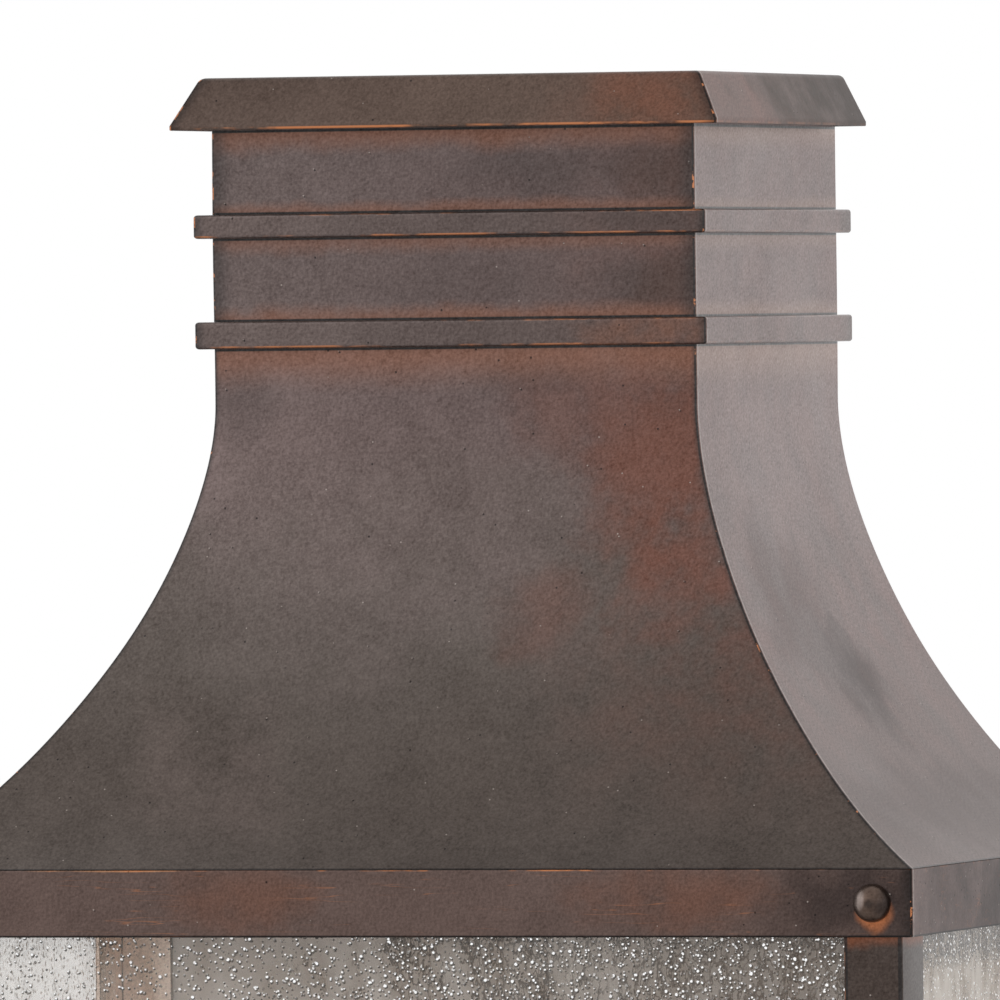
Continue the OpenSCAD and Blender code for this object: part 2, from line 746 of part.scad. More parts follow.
// One candle towards the front and the others evenly round the hub, seen from the hub's middle
module candle_places() {
  for (i = [0:candles - 1]) rotate([0, 0, -90 + i * 360 / candles]) children();
}

// One candle's place in the model, with its axis at the origin
module at_candle(i) {
  translate([0, lamp_y, 0]) rotate([0, 0, -90 + i * 360 / candles])
    translate([candle_ring_r, 0, 0]) children();
}

module candle_arms() {
  straight = candle_ring_r - candle_bend_r;
  start = hub_r - hub_plug;
  top = cup_z + cup_t;
  color(brass) translate([0, lamp_y, arm_z]) candle_places() difference() {
    union() {
      translate([start, 0, 0]) rotate([0, 90, 0]) cylinder(r = candle_arm_r, h = straight - start);
      translate([straight, 0, candle_bend_r]) rotate([90, 0, 0]) rotate([0, 0, -90])
        rotate_extrude(angle = 90) translate([candle_bend_r, 0]) circle(r = candle_arm_r);
      translate([candle_ring_r, 0, candle_bend_r]) cylinder(r = candle_arm_r, h = top - arm_z - candle_bend_r);
    }
    translate([candle_ring_r, 0, candle_bend_r]) cylinder(r = candle_arm_r / 2, h = top - arm_z);
  }
}

module drip_cups() {
  color(copper_light) for (i = [0:candles - 1]) at_candle(i) translate([0, 0, cup_z])
    rotate_extrude() polygon([
      [candle_arm_r + seat_clear, 0], [sleeve_r + 1, 0], [cup_r, cup_h - cup_t], [cup_r, cup_h],
      [cup_r - cup_t, cup_h], [sleeve_r + 1 - cup_t / 2, cup_t], [candle_arm_r + seat_clear, cup_t]]);
}

module candle_sleeves() {
  color("#d9d2bf") for (i = [0:candles - 1]) at_candle(i) translate([0, 0, sleeve_z]) difference() {
    cylinder(r = sleeve_r, h = sleeve_h);
    translate([0, 0, -1]) cylinder(r = sleeve_r - sleeve_wall, h = sleeve_h + 2);
  }
}

// Socket: a round body with a well for the bulb, on a strap that stands in the cup
module sockets() {
  color("#2b2b2b") for (i = [0:candles - 1]) at_candle(i) difference() {
    union() {
      translate([0, 0, socket_top - socket_h]) cylinder(r = socket_r, h = socket_h);
      slab([-socket_r + strap_in, -strap_w / 2, sleeve_z],
           [-socket_r + strap_in + strap_t, strap_w / 2, socket_top - socket_h + 1]);
      translate([0, 0, sleeve_z]) cylinder(r = socket_r - 1, h = strap_t);
    }
    translate([0, 0, socket_top - well_d]) cylinder(r = shell_r + shell_wall + seat_clear, h = well_d + 1);
    translate([0, 0, sleeve_z - 1]) cylinder(r = candle_arm_r, h = strap_t + 2);
  }
}

module socket_shells() {
  color(brass) for (i = [0:candles - 1]) at_candle(i) translate([0, 0, socket_top - well_d]) difference() {
    cylinder(r = shell_r + shell_wall, h = shell_h);
    translate([0, 0, 1]) cylinder(r = shell_r, h = shell_h);
  }
}

// A bulb's outline, drawn in by t: a swelling torpedo that closes in a blunt tip
bulb_neck_r = bulb_cap_r + bulb_neck_out;
function bulb_edge(t) = [
  for (i = [0:bulb_steps])
    curve([[bulb_neck_r - t, 0], bulb_belly - [t, 0], [bulb_shoulder.x - t, bulb_h * bulb_shoulder.y],
      [0, bulb_h - t]], i / bulb_steps)];

module bulb_glass(i) {
  outer = bulb_edge(0);
  inner = bulb_edge(bulb_wall);
  color("#e8e4d8", 0.5) at_candle(i) translate([0, 0, bulb_z]) rotate_extrude()
    polygon(concat(outer, [for (k = [bulb_steps:-1:0]) inner[k]]));
}

// Screw cap with its collar, insulator and contact
module bulb_cap(i) {
  color(brass) at_candle(i) translate([0, 0, socket_top]) {
    translate([0, 0, -bulb_cap_in]) cylinder(r = bulb_cap_r, h = bulb_cap_in + bulb_cap_out);
    cylinder(r = bulb_neck_r, h = bulb_cap_out);
    translate([0, 0, -bulb_cap_in - bulb_tip_h]) cylinder(r1 = bulb_contact_r, r2 = bulb_tip_r, h = bulb_tip_h);
  }
}

// Glass stem and upright strands, held by a flat cross at each end
module bulb_filament(i) {
  wire = strand_r;
  color("#e3b96a") at_candle(i) translate([0, 0, bulb_z]) {
    cylinder(r = 2 * strand_r, h = strand_z + wire);
    translate([0, 0, strand_z]) cylinder(r = strand_r / 2, h = strand_l);
    for (a = [0:90:270]) rotate([0, 0, a]) {
      translate([strand_ring_r, 0, strand_z]) cylinder(r = strand_r, h = strand_l);
      for (z = [strand_z, strand_z + strand_l - wire])
        slab([0, -wire / 2, z], [strand_ring_r, wire / 2, z + wire]);
    }
  }
}

roof_shell();
roof_skirt();
chimney_tube();
band(bell_top, lower_band_h);  // lower_band
band(upper_band_z, upper_band_h);  // upper_band
chimney_cap();
roof_nuts();
roof_screw(-1);  // roof_screw_left
roof_screw(1);  // roof_screw_right
back_box();
post(-1, true);  // post_front_left
post(1, true);  // post_front_right
post(-1, false);  // post_back_left
post(1, false);  // post_back_right
top_frame();
base_frame();
base_pan();
base_screws();
glass_front();
glass_side(-1);  // glass_left
glass_side(1);  // glass_right
glass_clips();
wall_bracket();
mounting_screws();
mounting_nuts();
ground_screw();
arm_tube();
arm_collar();
arm_nut();
cluster_hub();
hub_finial();
candle_arms();
drip_cups();
candle_sleeves();
sockets();
socket_shells();
bulb_glass(0);  // bulb_1_glass
bulb_cap(0);  // bulb_1_cap
bulb_filament(0);  // bulb_1_filament
bulb_glass(1);  // bulb_2_glass
bulb_cap(1);  // bulb_2_cap
bulb_filament(1);  // bulb_2_filament
bulb_glass(2);  // bulb_3_glass
bulb_cap(2);  // bulb_3_cap
bulb_filament(2);  // bulb_3_filament
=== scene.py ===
"""Dresses the wall lantern: blackened copper roof, seeded panes and a lamp cluster.

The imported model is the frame. Its plain solids are replaced by finished
surfaces or by softened copies of themselves, and each piece rides on the body
that carries it. Lengths are millimetres until a mesh is written, in metres.
"""

import json
import logging
import math
from dataclasses import dataclass, field, replace
from enum import Enum

import bmesh
import bpy
import numpy as np
from mathutils import Matrix, Vector

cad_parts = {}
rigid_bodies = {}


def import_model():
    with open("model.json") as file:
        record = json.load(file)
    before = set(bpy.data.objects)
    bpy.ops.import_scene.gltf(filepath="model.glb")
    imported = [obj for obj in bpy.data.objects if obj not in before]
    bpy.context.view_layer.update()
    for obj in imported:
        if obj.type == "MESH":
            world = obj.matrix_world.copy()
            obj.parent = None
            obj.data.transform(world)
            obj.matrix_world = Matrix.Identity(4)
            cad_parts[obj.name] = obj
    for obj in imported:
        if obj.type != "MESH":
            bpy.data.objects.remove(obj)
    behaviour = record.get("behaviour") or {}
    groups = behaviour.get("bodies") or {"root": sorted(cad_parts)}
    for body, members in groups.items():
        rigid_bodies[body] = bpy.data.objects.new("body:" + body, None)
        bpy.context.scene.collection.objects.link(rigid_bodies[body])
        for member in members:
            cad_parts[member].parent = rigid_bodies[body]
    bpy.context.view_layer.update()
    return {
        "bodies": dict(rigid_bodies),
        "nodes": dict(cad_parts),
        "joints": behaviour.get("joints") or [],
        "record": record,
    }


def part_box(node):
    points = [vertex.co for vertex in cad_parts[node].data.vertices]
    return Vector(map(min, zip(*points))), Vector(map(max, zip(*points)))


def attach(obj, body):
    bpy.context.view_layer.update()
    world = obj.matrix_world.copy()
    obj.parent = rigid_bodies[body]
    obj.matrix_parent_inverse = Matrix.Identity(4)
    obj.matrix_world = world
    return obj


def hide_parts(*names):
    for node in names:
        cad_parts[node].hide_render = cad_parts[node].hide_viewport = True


LOG = logging.getLogger("lantern")
FRAME: dict = {}
MM = 0.001
MERGE_GAP = 2e-6  # metres within which vertices are one
FLAT_ANGLE = 0.4  # degrees up to which a solid's triangles are one face
EDGE_ANGLE = 32.0  # degrees above which a solid's edge is rounded
EDGE_STEPS = 2


class Body(str, Enum):
    """The bodies that pieces ride on."""

    LANTERN = "lantern"
    ROOF = "roof"
    SCREW_LEFT = "roof_screw_left"
    SCREW_RIGHT = "roof_screw_right"
    BULB_1 = "bulb_1"
    BULB_2 = "bulb_2"
    BULB_3 = "bulb_3"


class Slot(str, Enum):
    """The record's material slots."""

    COPPER = "antique_copper"
    FITTINGS = "copper_fittings"
    PANEL = "back_panel"
    PANE = "seeded_glass"
    BULB = "bulb_glass"
    BRASS = "brass"
    STEEL = "steel"
    SLEEVE = "sleeve"
    PHENOLIC = "phenolic"
    FILAMENT = "filament"
    GREEN = "green_paint"


# ---------------------------------------------------------------- shader maths


def linear(hexcode: str) -> tuple[float, float, float, float]:
    """The linear colour of a screen colour.

    Args:
        hexcode: Red, green and blue as six hexadecimal digits.

    Returns:
        Red, green, blue and an alpha of 1, all linear.
    """
    parts = [int(hexcode[i : i + 2], 16) / 255 for i in (0, 2, 4)]
    return tuple(c / 12.92 if c <= 0.04045 else ((c + 0.055) / 1.055) ** 2.4 for c in parts) + (1.0,)


class Sock:
    """A shader socket that takes part in Python arithmetic as a number."""

    def __init__(self, graph: "Graph", socket: bpy.types.NodeSocket) -> None:
        """Keeps the socket and the graph that it belongs to."""
        self.graph = graph
        self.socket = socket

    def _math(self, operation: str, *values: object) -> "Sock":
        """Adds a Math node on these values."""
        return self.graph.node("ShaderNodeMath", {"operation": operation}, dict(enumerate(values)))

    def __add__(self, other: object) -> "Sock":
        """Sum."""
        return self._math("ADD", self, other)

    __radd__ = __add__

    def __sub__(self, other: object) -> "Sock":
        """Difference."""
        return self._math("SUBTRACT", self, other)

    def __rsub__(self, other: object) -> "Sock":
        """Difference, the other way round."""
        return self._math("SUBTRACT", other, self)

    def __mul__(self, other: object) -> "Sock":
        """Product."""
        return self._math("MULTIPLY", self, other)

    __rmul__ = __mul__

    def __abs__(self) -> "Sock":
        """Size without sign."""
        return self._math("ABSOLUTE", self)

    def most(self, other: object) -> "Sock":
        """The larger of two values."""
        return self._math("MAXIMUM", self, other)

    def least(self, other: object) -> "Sock":
        """The smaller of two values."""
        return self._math("MINIMUM", self, other)

    def ease(self, start: float, end: float) -> "Sock":
        """A smooth step from 0 at start to 1 at end, which may lie below start."""
        low, high = (start, end) if start < end else (end, start)
        step = self.graph.node(
            "ShaderNodeMapRange",
            {"interpolation_type": "SMOOTHSTEP"},
            {"Value": self, "From Min": low, "From Max": high},
        )
        return step if start < end else 1 - step


class Graph:
    """The node tree of one material or world, written from Python expressions."""

    def __init__(self, owner: bpy.types.ID) -> None:
        """Empties the node tree of a material or world."""
        self.owner = owner
        owner.use_nodes = True
        self.tree = owner.node_tree
        self.tree.nodes.clear()
        self._place: Sock | None = None

    def node(
        self, kind: str, settings: dict, inputs: dict, output: int | str | None = 0
    ) -> Sock | None:
        """Adds any node.

        Args:
            kind: The node's type.
            settings: Attributes that are set first, such as an operation.
            inputs: Values, links or hexadecimal colours, by the socket's name or number.
            output: The socket that is returned, or None for an end node.

        Returns:
            The chosen output, if any.
        """
        made = self.tree.nodes.new(kind)
        for key, value in settings.items():
            setattr(made, key, value)
        for key, value in inputs.items():
            target = made.inputs[key]
            if isinstance(value, Sock):
                self.tree.links.new(value.socket, target)
            elif value is not None:
                target.default_value = linear(value) if isinstance(value, str) else value
        return None if output is None else Sock(self, made.outputs[output])

    def place(self) -> Sock:
        """The object's own coordinates, in metres of the row frame."""
        if self._place is None:
            self._place = self.node("ShaderNodeTexCoord", {}, {}, "Object")
        return self._place

    def axis(self, index: int, vector: Sock | None = None) -> Sock:
        """One coordinate, in millimetres: 0 is x, 1 is y and 2 is z."""
        split = self.node("ShaderNodeSeparateXYZ", {}, {0: vector or self.place()}, index)
        return split * (1 / MM)

    def shifted(self, offset: tuple[float, float, float]) -> Sock:
        """The object's coordinates, moved by an offset in metres."""
        return self.node("ShaderNodeVectorMath", {"operation": "ADD"}, {0: self.place(), 1: offset})

    def stretched(self, scale: tuple[float, float, float]) -> Sock:
        """The object's coordinates, scaled by axis, for grain that runs one way."""
        return self.node("ShaderNodeMapping", {}, {"Vector": self.place(), "Scale": scale})

    def noise(
        self, size: float, detail: float = 3.0, rough: float = 0.5, vector: Sock | None = None
    ) -> Sock:
        """Cloudy noise about 0.5, with features of that size in millimetres."""
        return self.node(
            "ShaderNodeTexNoise",
            {"noise_dimensions": "3D"},
            {
                "Vector": vector or self.place(),
                "Scale": 1 / (size * MM),
                "Detail": detail,
                "Roughness": rough,
            },
            "Fac",
        )

    def cells(self, size: float, output: str = "Distance", vector: Sock | None = None) -> Sock:
        """Scattered cells of that size: distance from a cell's seed, or its colour."""
        return self.node(
            "ShaderNodeTexVoronoi",
            {"feature": "F1"},
            {"Vector": vector or self.place(), "Scale": 1 / (size * MM)},
            output,
        )

    def one_of(self, colour: Sock, channel: int = 0) -> Sock:
        """One channel of a colour, such as the random number of a cell."""
        return self.node("ShaderNodeSeparateColor", {}, {0: colour}, channel)

    def known(self, name: str) -> Sock:
        """A number that the mesh carries at each point."""
        return self.node("ShaderNodeAttribute", {"attribute_name": name}, {}, "Fac")

    def mix(self, share: object, first: object, second: object, blend: str = "MIX") -> Sock:
        """A blend of two colours."""
        return self.node(
            "ShaderNodeMix",
            {"data_type": "RGBA", "blend_type": blend},
            {0: share, 6: first, 7: second},
            2,
        )

    def bump(self, height: Sock, strength: float, depth: float) -> Sock:
        """A surface normal from a height, whose full range is depth millimetres."""
        return self.node(
            "ShaderNodeBump",
            {},
            {"Height": height, "Strength": strength, "Distance": depth * MM},
        )

    def finish(self, **sockets: object) -> bpy.types.Material:
        """Ends the graph in a Principled surface.

        Args:
            sockets: Values or links by socket name, with underscores for spaces.

        Returns:
            The finished material.
        """
        shader = self.node(
            "ShaderNodeBsdfPrincipled",
            {},
            {key.replace("_", " "): value for key, value in sockets.items()},
        )
        self.node("ShaderNodeOutputMaterial", {}, {"Surface": shader}, None)
        return self.owner


# -------------------------------------------------------------------- finishes

GRAIN = 0.85  # size of the finest grain
PIT_CELL = 3.4  # spacing of pits and glints
OFF_BACK = (-0.6, -1.0)  # y from the back plane's edge to where bands show in full
BOX_EDGE = (-13.3, -13.6)  # y just before the wall's box, where a face is pale
# painted light: the flanks take this tint apart from the front, for the different light on the sides
FLANK_TINT = "6e3c33"
# painted reflected light: the warm bands' tint on the flanks
FLANK_GLOW = "a98571"
# painted shade: a flank's colour towards its rear end, by the wall
REAR_SHADE = "3a2a24"
# painted highlights: the light dots beside the pits
GLINT = "b9aca3"
# painted reflection: the pale face just before the wall
INNER_REFLECTION = "f7dccb"


@dataclass(frozen=True)
class Glow:
    """A level band across a face.

    Attributes:
        z: Its height, in millimetres.
        reach: How far it fades, up for a positive and down for a negative number.
        strength: Its greatest share.
    """

    z: float
    reach: float
    strength: float = 1.0


@dataclass(frozen=True)
class Patch:
    """A cloudy spot on a face.

    Attributes:
        u: Its middle along x on a front face, or along y on a flank.
        z: Its middle's height.
        wide: Half its width.
        tall: Half its height.
        tone: Its colour.
        strength: Its greatest share.
        on_flank: Whether it lies on the flanks.
        twice: Whether the front has it on both sides of the middle.
    """

    u: float
    z: float
    wide: float
    tall: float
    tone: str
    strength: float = 0.6
    on_flank: bool = False
    twice: bool = False

    def apart(self, along: Sock, z: Sock, shift_u: object = 0.0, shift_v: object = 0.0) -> Sock:
        """The squared elliptic distance from the middle, with the place shifted."""
        u = (along - self.u) * (1 / self.wide) + shift_u
        v = (z - self.z) * (1 / self.tall) + shift_v
        return u * u + v * v


# Besides the copper's own colours, this finish paints shade, reflected light and highlights, as its
# attributes say.
@dataclass(frozen=True)
class AgedCopper:
    """Hand-rubbed blackened copper under lacquer: cloudy brown with bare edges.

    Attributes:
        name: The material's name.
        plain: The colour of most of a face.
        cool: The colour towards the left.
        warm: The rubbed brown towards the right.
        low: The colour of the lower bell.
        bare: Bright copper at edges.
        soot_and_shade: The black of painted shade in creases, at corners, in slits and in pits.
        glow: The warm brown of painted reflected light beside creases.
        corner_highlight: The painted highlight line behind a corner.
        rough: The middle roughness.
        lacquer: The coat's weight.
        glows: Soft bands of painted reflected light, off the back of a mesh with arrises.
        creases: Thin lines of painted shade, off it as well.
        worn: Thin broken lines of bare copper.
        patches: Cloudy spots.
        corner_dark: How far painted shade darkens a front face before its corners.
        rear_dark: How far painted shade darkens a flank before its rear end.
        arrises: Whether the mesh carries the arris and flank values.
        grain: Contrast of the finest grain and of its painted emboss shading.
        scratched: Whether thin level scratches show bare copper.
        chips: The noise above which a corner is chipped.
        slits: Distances from the middle at which a line of painted shade runs down.
        crumbs: A patch in which the pits crowd.
        inner_pale: Whether the face just before the wall is pale, a painted reflection.
    """

    name: str
    plain: str = "614f4c"
    cool: str = "6a5855"
    warm: str = "562f21"
    low: str = "4e443e"
    bare: str = "b9764c"
    soot_and_shade: str = "120c0b"
    glow: str = "86563f"
    corner_highlight: str = "a89b95"
    rough: float = 0.45
    lacquer: float = 0.74
    glows: tuple[Glow, ...] = ()
    creases: tuple[Glow, ...] = ()
    worn: tuple[Glow, ...] = ()
    patches: tuple[Patch, ...] = ()
    corner_dark: float = 0.0
    rear_dark: float = 0.0
    arrises: bool = False
    grain: float = 1.0
    scratched: bool = False
    chips: float = 0.57
    slits: tuple[float, ...] = ()
    crumbs: Patch | None = None
    inner_pale: bool = False

    def tones(self, g: Graph, cloud: Sock, patch: Sock) -> Sock:
        """The broad colours: left to right by x, then lower down by z.

        Args:
            g: The graph.
            cloud: Broad noise.
            patch: Middling noise.

        Returns:
            The colour.
        """
        x, z = g.axis(0), g.axis(2)
        drift = x + (cloud - 0.5) * 110
        colour = g.mix(drift.ease(20, -75), self.plain, self.cool)
        colour = g.mix((z + (cloud - 0.5) * 90).ease(322, 238), colour, self.low)
        rust = (x + (cloud - 0.5) * 70).ease(15, 95) * patch.ease(0.25, 0.75)
        return g.mix(rust * z.ease(190, 260) * 0.9, colour, self.warm)

    def spots(self, g: Graph, colour: Sock, patch: Sock) -> tuple[Sock, Sock | float]:
        """Lays the patches over a colour.

        Each is the smooth fall of one minus the elliptic distance from its
        middle, with the place warped by noise. Those on a flank dull the coat.

        Args:
            g: The graph.
            colour: What lies below.
            patch: Middling noise.

        Returns:
            The colour, and how far the coat is dulled.
        """
        x, y, z = g.axis(0), g.axis(1), g.axis(2)
        warp = g.node(
            "ShaderNodeTexNoise",
            {"noise_dimensions": "3D"},
            {"Vector": g.place(), "Scale": 45.0, "Detail": 4.0, "Roughness": 0.6},
            "Color",
        )
        warp_u, warp_v = g.one_of(warp) - 0.5, g.one_of(warp, 1) - 0.5
        dull: Sock | float = 0.0
        for spot in self.patches:
            along = y if spot.on_flank else abs(x) if spot.twice else x
            fall = spot.apart(along, z, warp_u * 1.7, warp_v * 1.7)
            share = fall.ease(1.3, -0.1) * patch.ease(0.15, 0.6) * spot.strength
            if self.arrises:
                flank = g.known("flank")
                share = share * (flank if spot.on_flank else 1 - flank)
            if spot.on_flank:
                dull = share.most(dull)
            colour = g.mix(share, colour, spot.tone)
        return colour, dull

    def corners(self, g: Graph, colour: Sock) -> Sock:
        """Paints shade on the front corners, in a thin seam along each corner and on the flanks' rear
        ends, chips the corners and paints a highlight line behind them.

        Args:
            g: The graph.
            colour: What lies below.

        Returns:
            The colour.
        """
        arris = g.known("arris")
        ragged = g.noise(3.0, 3, 0.7)
        # painted shade: the front face darkens just before its corners
        if self.corner_dark:
            front = arris.ease(-self.corner_dark, -0.2) * arris.ease(0.4, 0.0)
            colour = g.mix(front * 0.62, colour, self.soot_and_shade)
        # painted shade: a flank darkens towards its rear end, by the wall
        if self.rear_dark:
            along = g.axis(1) + (ragged - 0.5) * 4
            rear = along.ease(-0.5 - self.rear_dark, -2) * g.known("flank")
            colour = g.mix(rear * 0.55, colour, REAR_SHADE)
        # painted highlight: a light line just behind each corner
        line = abs(arris - 1.1).ease(0.9, 0.3) * ragged.ease(0.3, 0.55)
        colour = g.mix(line * 0.5, colour, self.corner_highlight)
        # painted shade: a thin dark seam right at the corner
        seam = abs(arris + 0.3 + (ragged - 0.5) * 0.5).ease(0.5, 0.2)
        colour = g.mix(seam * 0.9, colour, self.soot_and_shade)
        flakes = g.noise(4.2, 3, 0.7).ease(self.chips, self.chips + 0.06)
        chips = abs(arris + 0.2).ease(0.55, 0.3) * flakes
        return g.mix(chips, colour, self.bare)

    def build(self) -> bpy.types.Material:
        """Writes the material.

        Returns:
            The material.
        """
        g = Graph(bpy.data.materials.new(self.name))
        z = g.axis(2)
        cloud = g.noise(58, 3, 0.55)
        patch = g.noise(17, 4, 0.62)
        fine = g.noise(1.7, 3, 0.65)
        grain = g.noise(GRAIN, 2, 0.6)
        beside = g.shifted((0.00035, 0.0003, -0.00035))
        # painted shade and highlight: the grain minus the same grain a little aside shades its ridges as
        # if lit from one side
        emboss_shading = grain - g.noise(GRAIN, 2, 0.6, beside)

        side = g.known("flank") if self.arrises else 0.0
        # painted light: a tint on the flanks only
        below = g.mix(side * 0.3, self.tones(g, cloud, patch), FLANK_TINT)
        colour, dull = self.spots(g, below, patch)
        # painted reflection: a pale face just before the wall
        if self.inner_pale:
            inside = g.axis(1).ease(*BOX_EDGE) * abs(g.axis(0)).ease(147.7, 147.5)
            colour = g.mix(inside, colour, INNER_REFLECTION)
        ahead = g.axis(1).ease(*OFF_BACK) if self.arrises else 1.0
        # painted reflected light: warm bands beside the creases
        for band in self.glows:
            way = 1 if band.reach > 0 else -1
            fade = (z + (patch - 0.5) * 7 * way).ease(band.z + band.reach, band.z)
            beyond = (z - band.z) * way
            tint = g.mix(side, self.glow, FLANK_GLOW)
            share = fade * beyond.ease(-0.05, 0.0) * band.strength * (1 - side * 0.4) * ahead
            colour = g.mix(share, colour, tint)

        seeds, chance = g.cells(PIT_CELL), g.one_of(g.cells(PIT_CELL, "Color"))
        crowd = g.noise(30, 2, 0.5)
        chance = chance + (crowd - 0.5) * 0.35
        if self.crumbs:
            chance = chance + self.crumbs.apart(g.axis(0), z).ease(1.2, 0.2) * 0.55
        # painted shade: dark pits, which the bump also sinks
        pits = seeds.ease(0.12, 0.05) * chance.ease(0.76, 0.8)
        # painted highlights: light dots a little aside from the pits
        glints = g.cells(PIT_CELL, vector=beside).ease(0.1, 0.04)
        glints = glints * g.one_of(g.cells(PIT_CELL, "Color", beside)).ease(0.78, 0.82)
        tone = (fine - 0.5) * 0.45 + (grain - 0.5) * 0.3 * self.grain
        tone = tone + emboss_shading * 0.5 * self.grain + (patch - 0.5) * 0.6 + 1
        colour = g.mix(1.0, colour, tone, "MULTIPLY")
        colour = g.mix(pits * 0.8, colour, self.soot_and_shade)
        colour = g.mix(glints * 0.55, colour, GLINT)

        broken = g.noise(9, 4, 0.7, g.stretched((0.3, 1, 1)))
        # painted shade: thin black lines where one piece meets the next
        for band in self.creases:
            share = abs(z - band.z).ease(band.reach, band.reach * 0.45) * band.strength * ahead
            colour = g.mix(share, colour, self.soot_and_shade)
        for band in self.worn:
            share = abs(z - band.z).ease(band.reach, band.reach * 0.4)
            start = 0.62 - 0.2 * band.strength
            share = share * broken.ease(start, start + 0.12) * (1 - side * 0.8)
            colour = g.mix(share, colour, self.bare)
        if self.scratched:
            lines = g.noise(2.6, 2, 0.5, g.stretched((0.05, 0.3, 1)))
            scratch = abs(lines - 0.5).ease(0.012, 0.003)
            colour = g.mix(scratch * broken.ease(0.5, 0.62) * 0.3, colour, self.bare)
        # painted shade: dark lines down a post
        for middle in self.slits:
            share = abs(abs(g.axis(0)) - middle).ease(0.75, 0.35) * 0.85
            colour = g.mix(share, colour, self.soot_and_shade)
        if self.arrises:
            colour = self.corners(g, colour)
        mottle = (fine - 0.5) * 1.1 + emboss_shading + (patch - 0.5) * 0.9 + (cloud - 0.5) * 0.8 + 1
        coat = (z.ease(190, 310) * 0.6 + 0.48) * mottle
        coat = coat * (1 - pits * 0.5) * (1 - dull * 0.8) * self.lacquer + glints * 0.3
        height = grain * 0.2 + fine * 0.45 - pits * 2.5 + glints * 1.5
        return g.finish(
            Base_Color=colour,
            Metallic=0.9,
            Roughness=(fine - 0.5) * 0.15 + (patch - 0.5) * 0.12 + self.rough,
            Coat_Weight=coat,
            Coat_Roughness=0.3,
            Normal=g.bump(height, 0.6, 0.12),
        )


@dataclass(frozen=True)
class RubbedEdge:
    """The thin worn arris of a copper piece, between bare metal and soot."""

    name: str
    bare: str = "8d6048"
    soot_and_shade: str = "4a3a33"

    def build(self) -> bpy.types.Material:
        """Writes the material: noise chooses bare copper or soot."""
        g = Graph(bpy.data.materials.new(self.name))
        broken = g.noise(6, 4, 0.7)
        colour = g.mix(broken.ease(0.48, 0.62), self.soot_and_shade, self.bare)
        return g.finish(Base_Color=colour, Metallic=0.9, Roughness=broken * 0.2 + 0.3)


@dataclass(frozen=True)
class Metal:
    """A plain worked metal: brass, steel or darkened copper, with fine scratches."""

    name: str
    light: str
    dark: str
    rough: float = 0.35

    def build(self) -> bpy.types.Material:
        """Writes the material: cloudy tarnish, and scratches along one axis."""
        g = Graph(bpy.data.materials.new(self.name))
        cloud = g.noise(14, 4, 0.6)
        scratch = g.noise(0.8, 3, 0.6, g.stretched((1.0, 1.0, 0.2)))
        colour = g.mix(cloud.ease(0.35, 0.65), self.light, self.dark)
        colour = g.mix(1.0, colour, (scratch - 0.5) * 0.3 + 1, "MULTIPLY")
        return g.finish(
            Base_Color=colour,
            Metallic=1.0,
            Roughness=(cloud - 0.5) * 0.2 + (scratch - 0.5) * 0.2 + self.rough,
            Normal=g.bump(scratch, 0.3, 0.03),
        )


@dataclass(frozen=True)
class Coat:
    """Paint, moulded plastic or a waxy sleeve: a soft mottled coat."""

    name: str
    light: str
    dark: str
    rough: float = 0.55
    grain: float = 1.2
    depth: float = 0.05

    def build(self) -> bpy.types.Material:
        """Writes the material: two tones, mixed by noise, and a fine skin."""
        g = Graph(bpy.data.materials.new(self.name))
        cloud = g.noise(26, 4, 0.6)
        skin = g.noise(self.grain, 3, 0.6)
        colour = g.mix(cloud.ease(0.3, 0.7), self.light, self.dark)
        colour = g.mix(1.0, colour, (skin - 0.5) * 0.12 + 1, "MULTIPLY")
        return g.finish(
            Base_Color=colour,
            Roughness=(cloud - 0.5) * 0.15 + self.rough,
            Normal=g.bump(skin, 0.5, self.depth),
        )


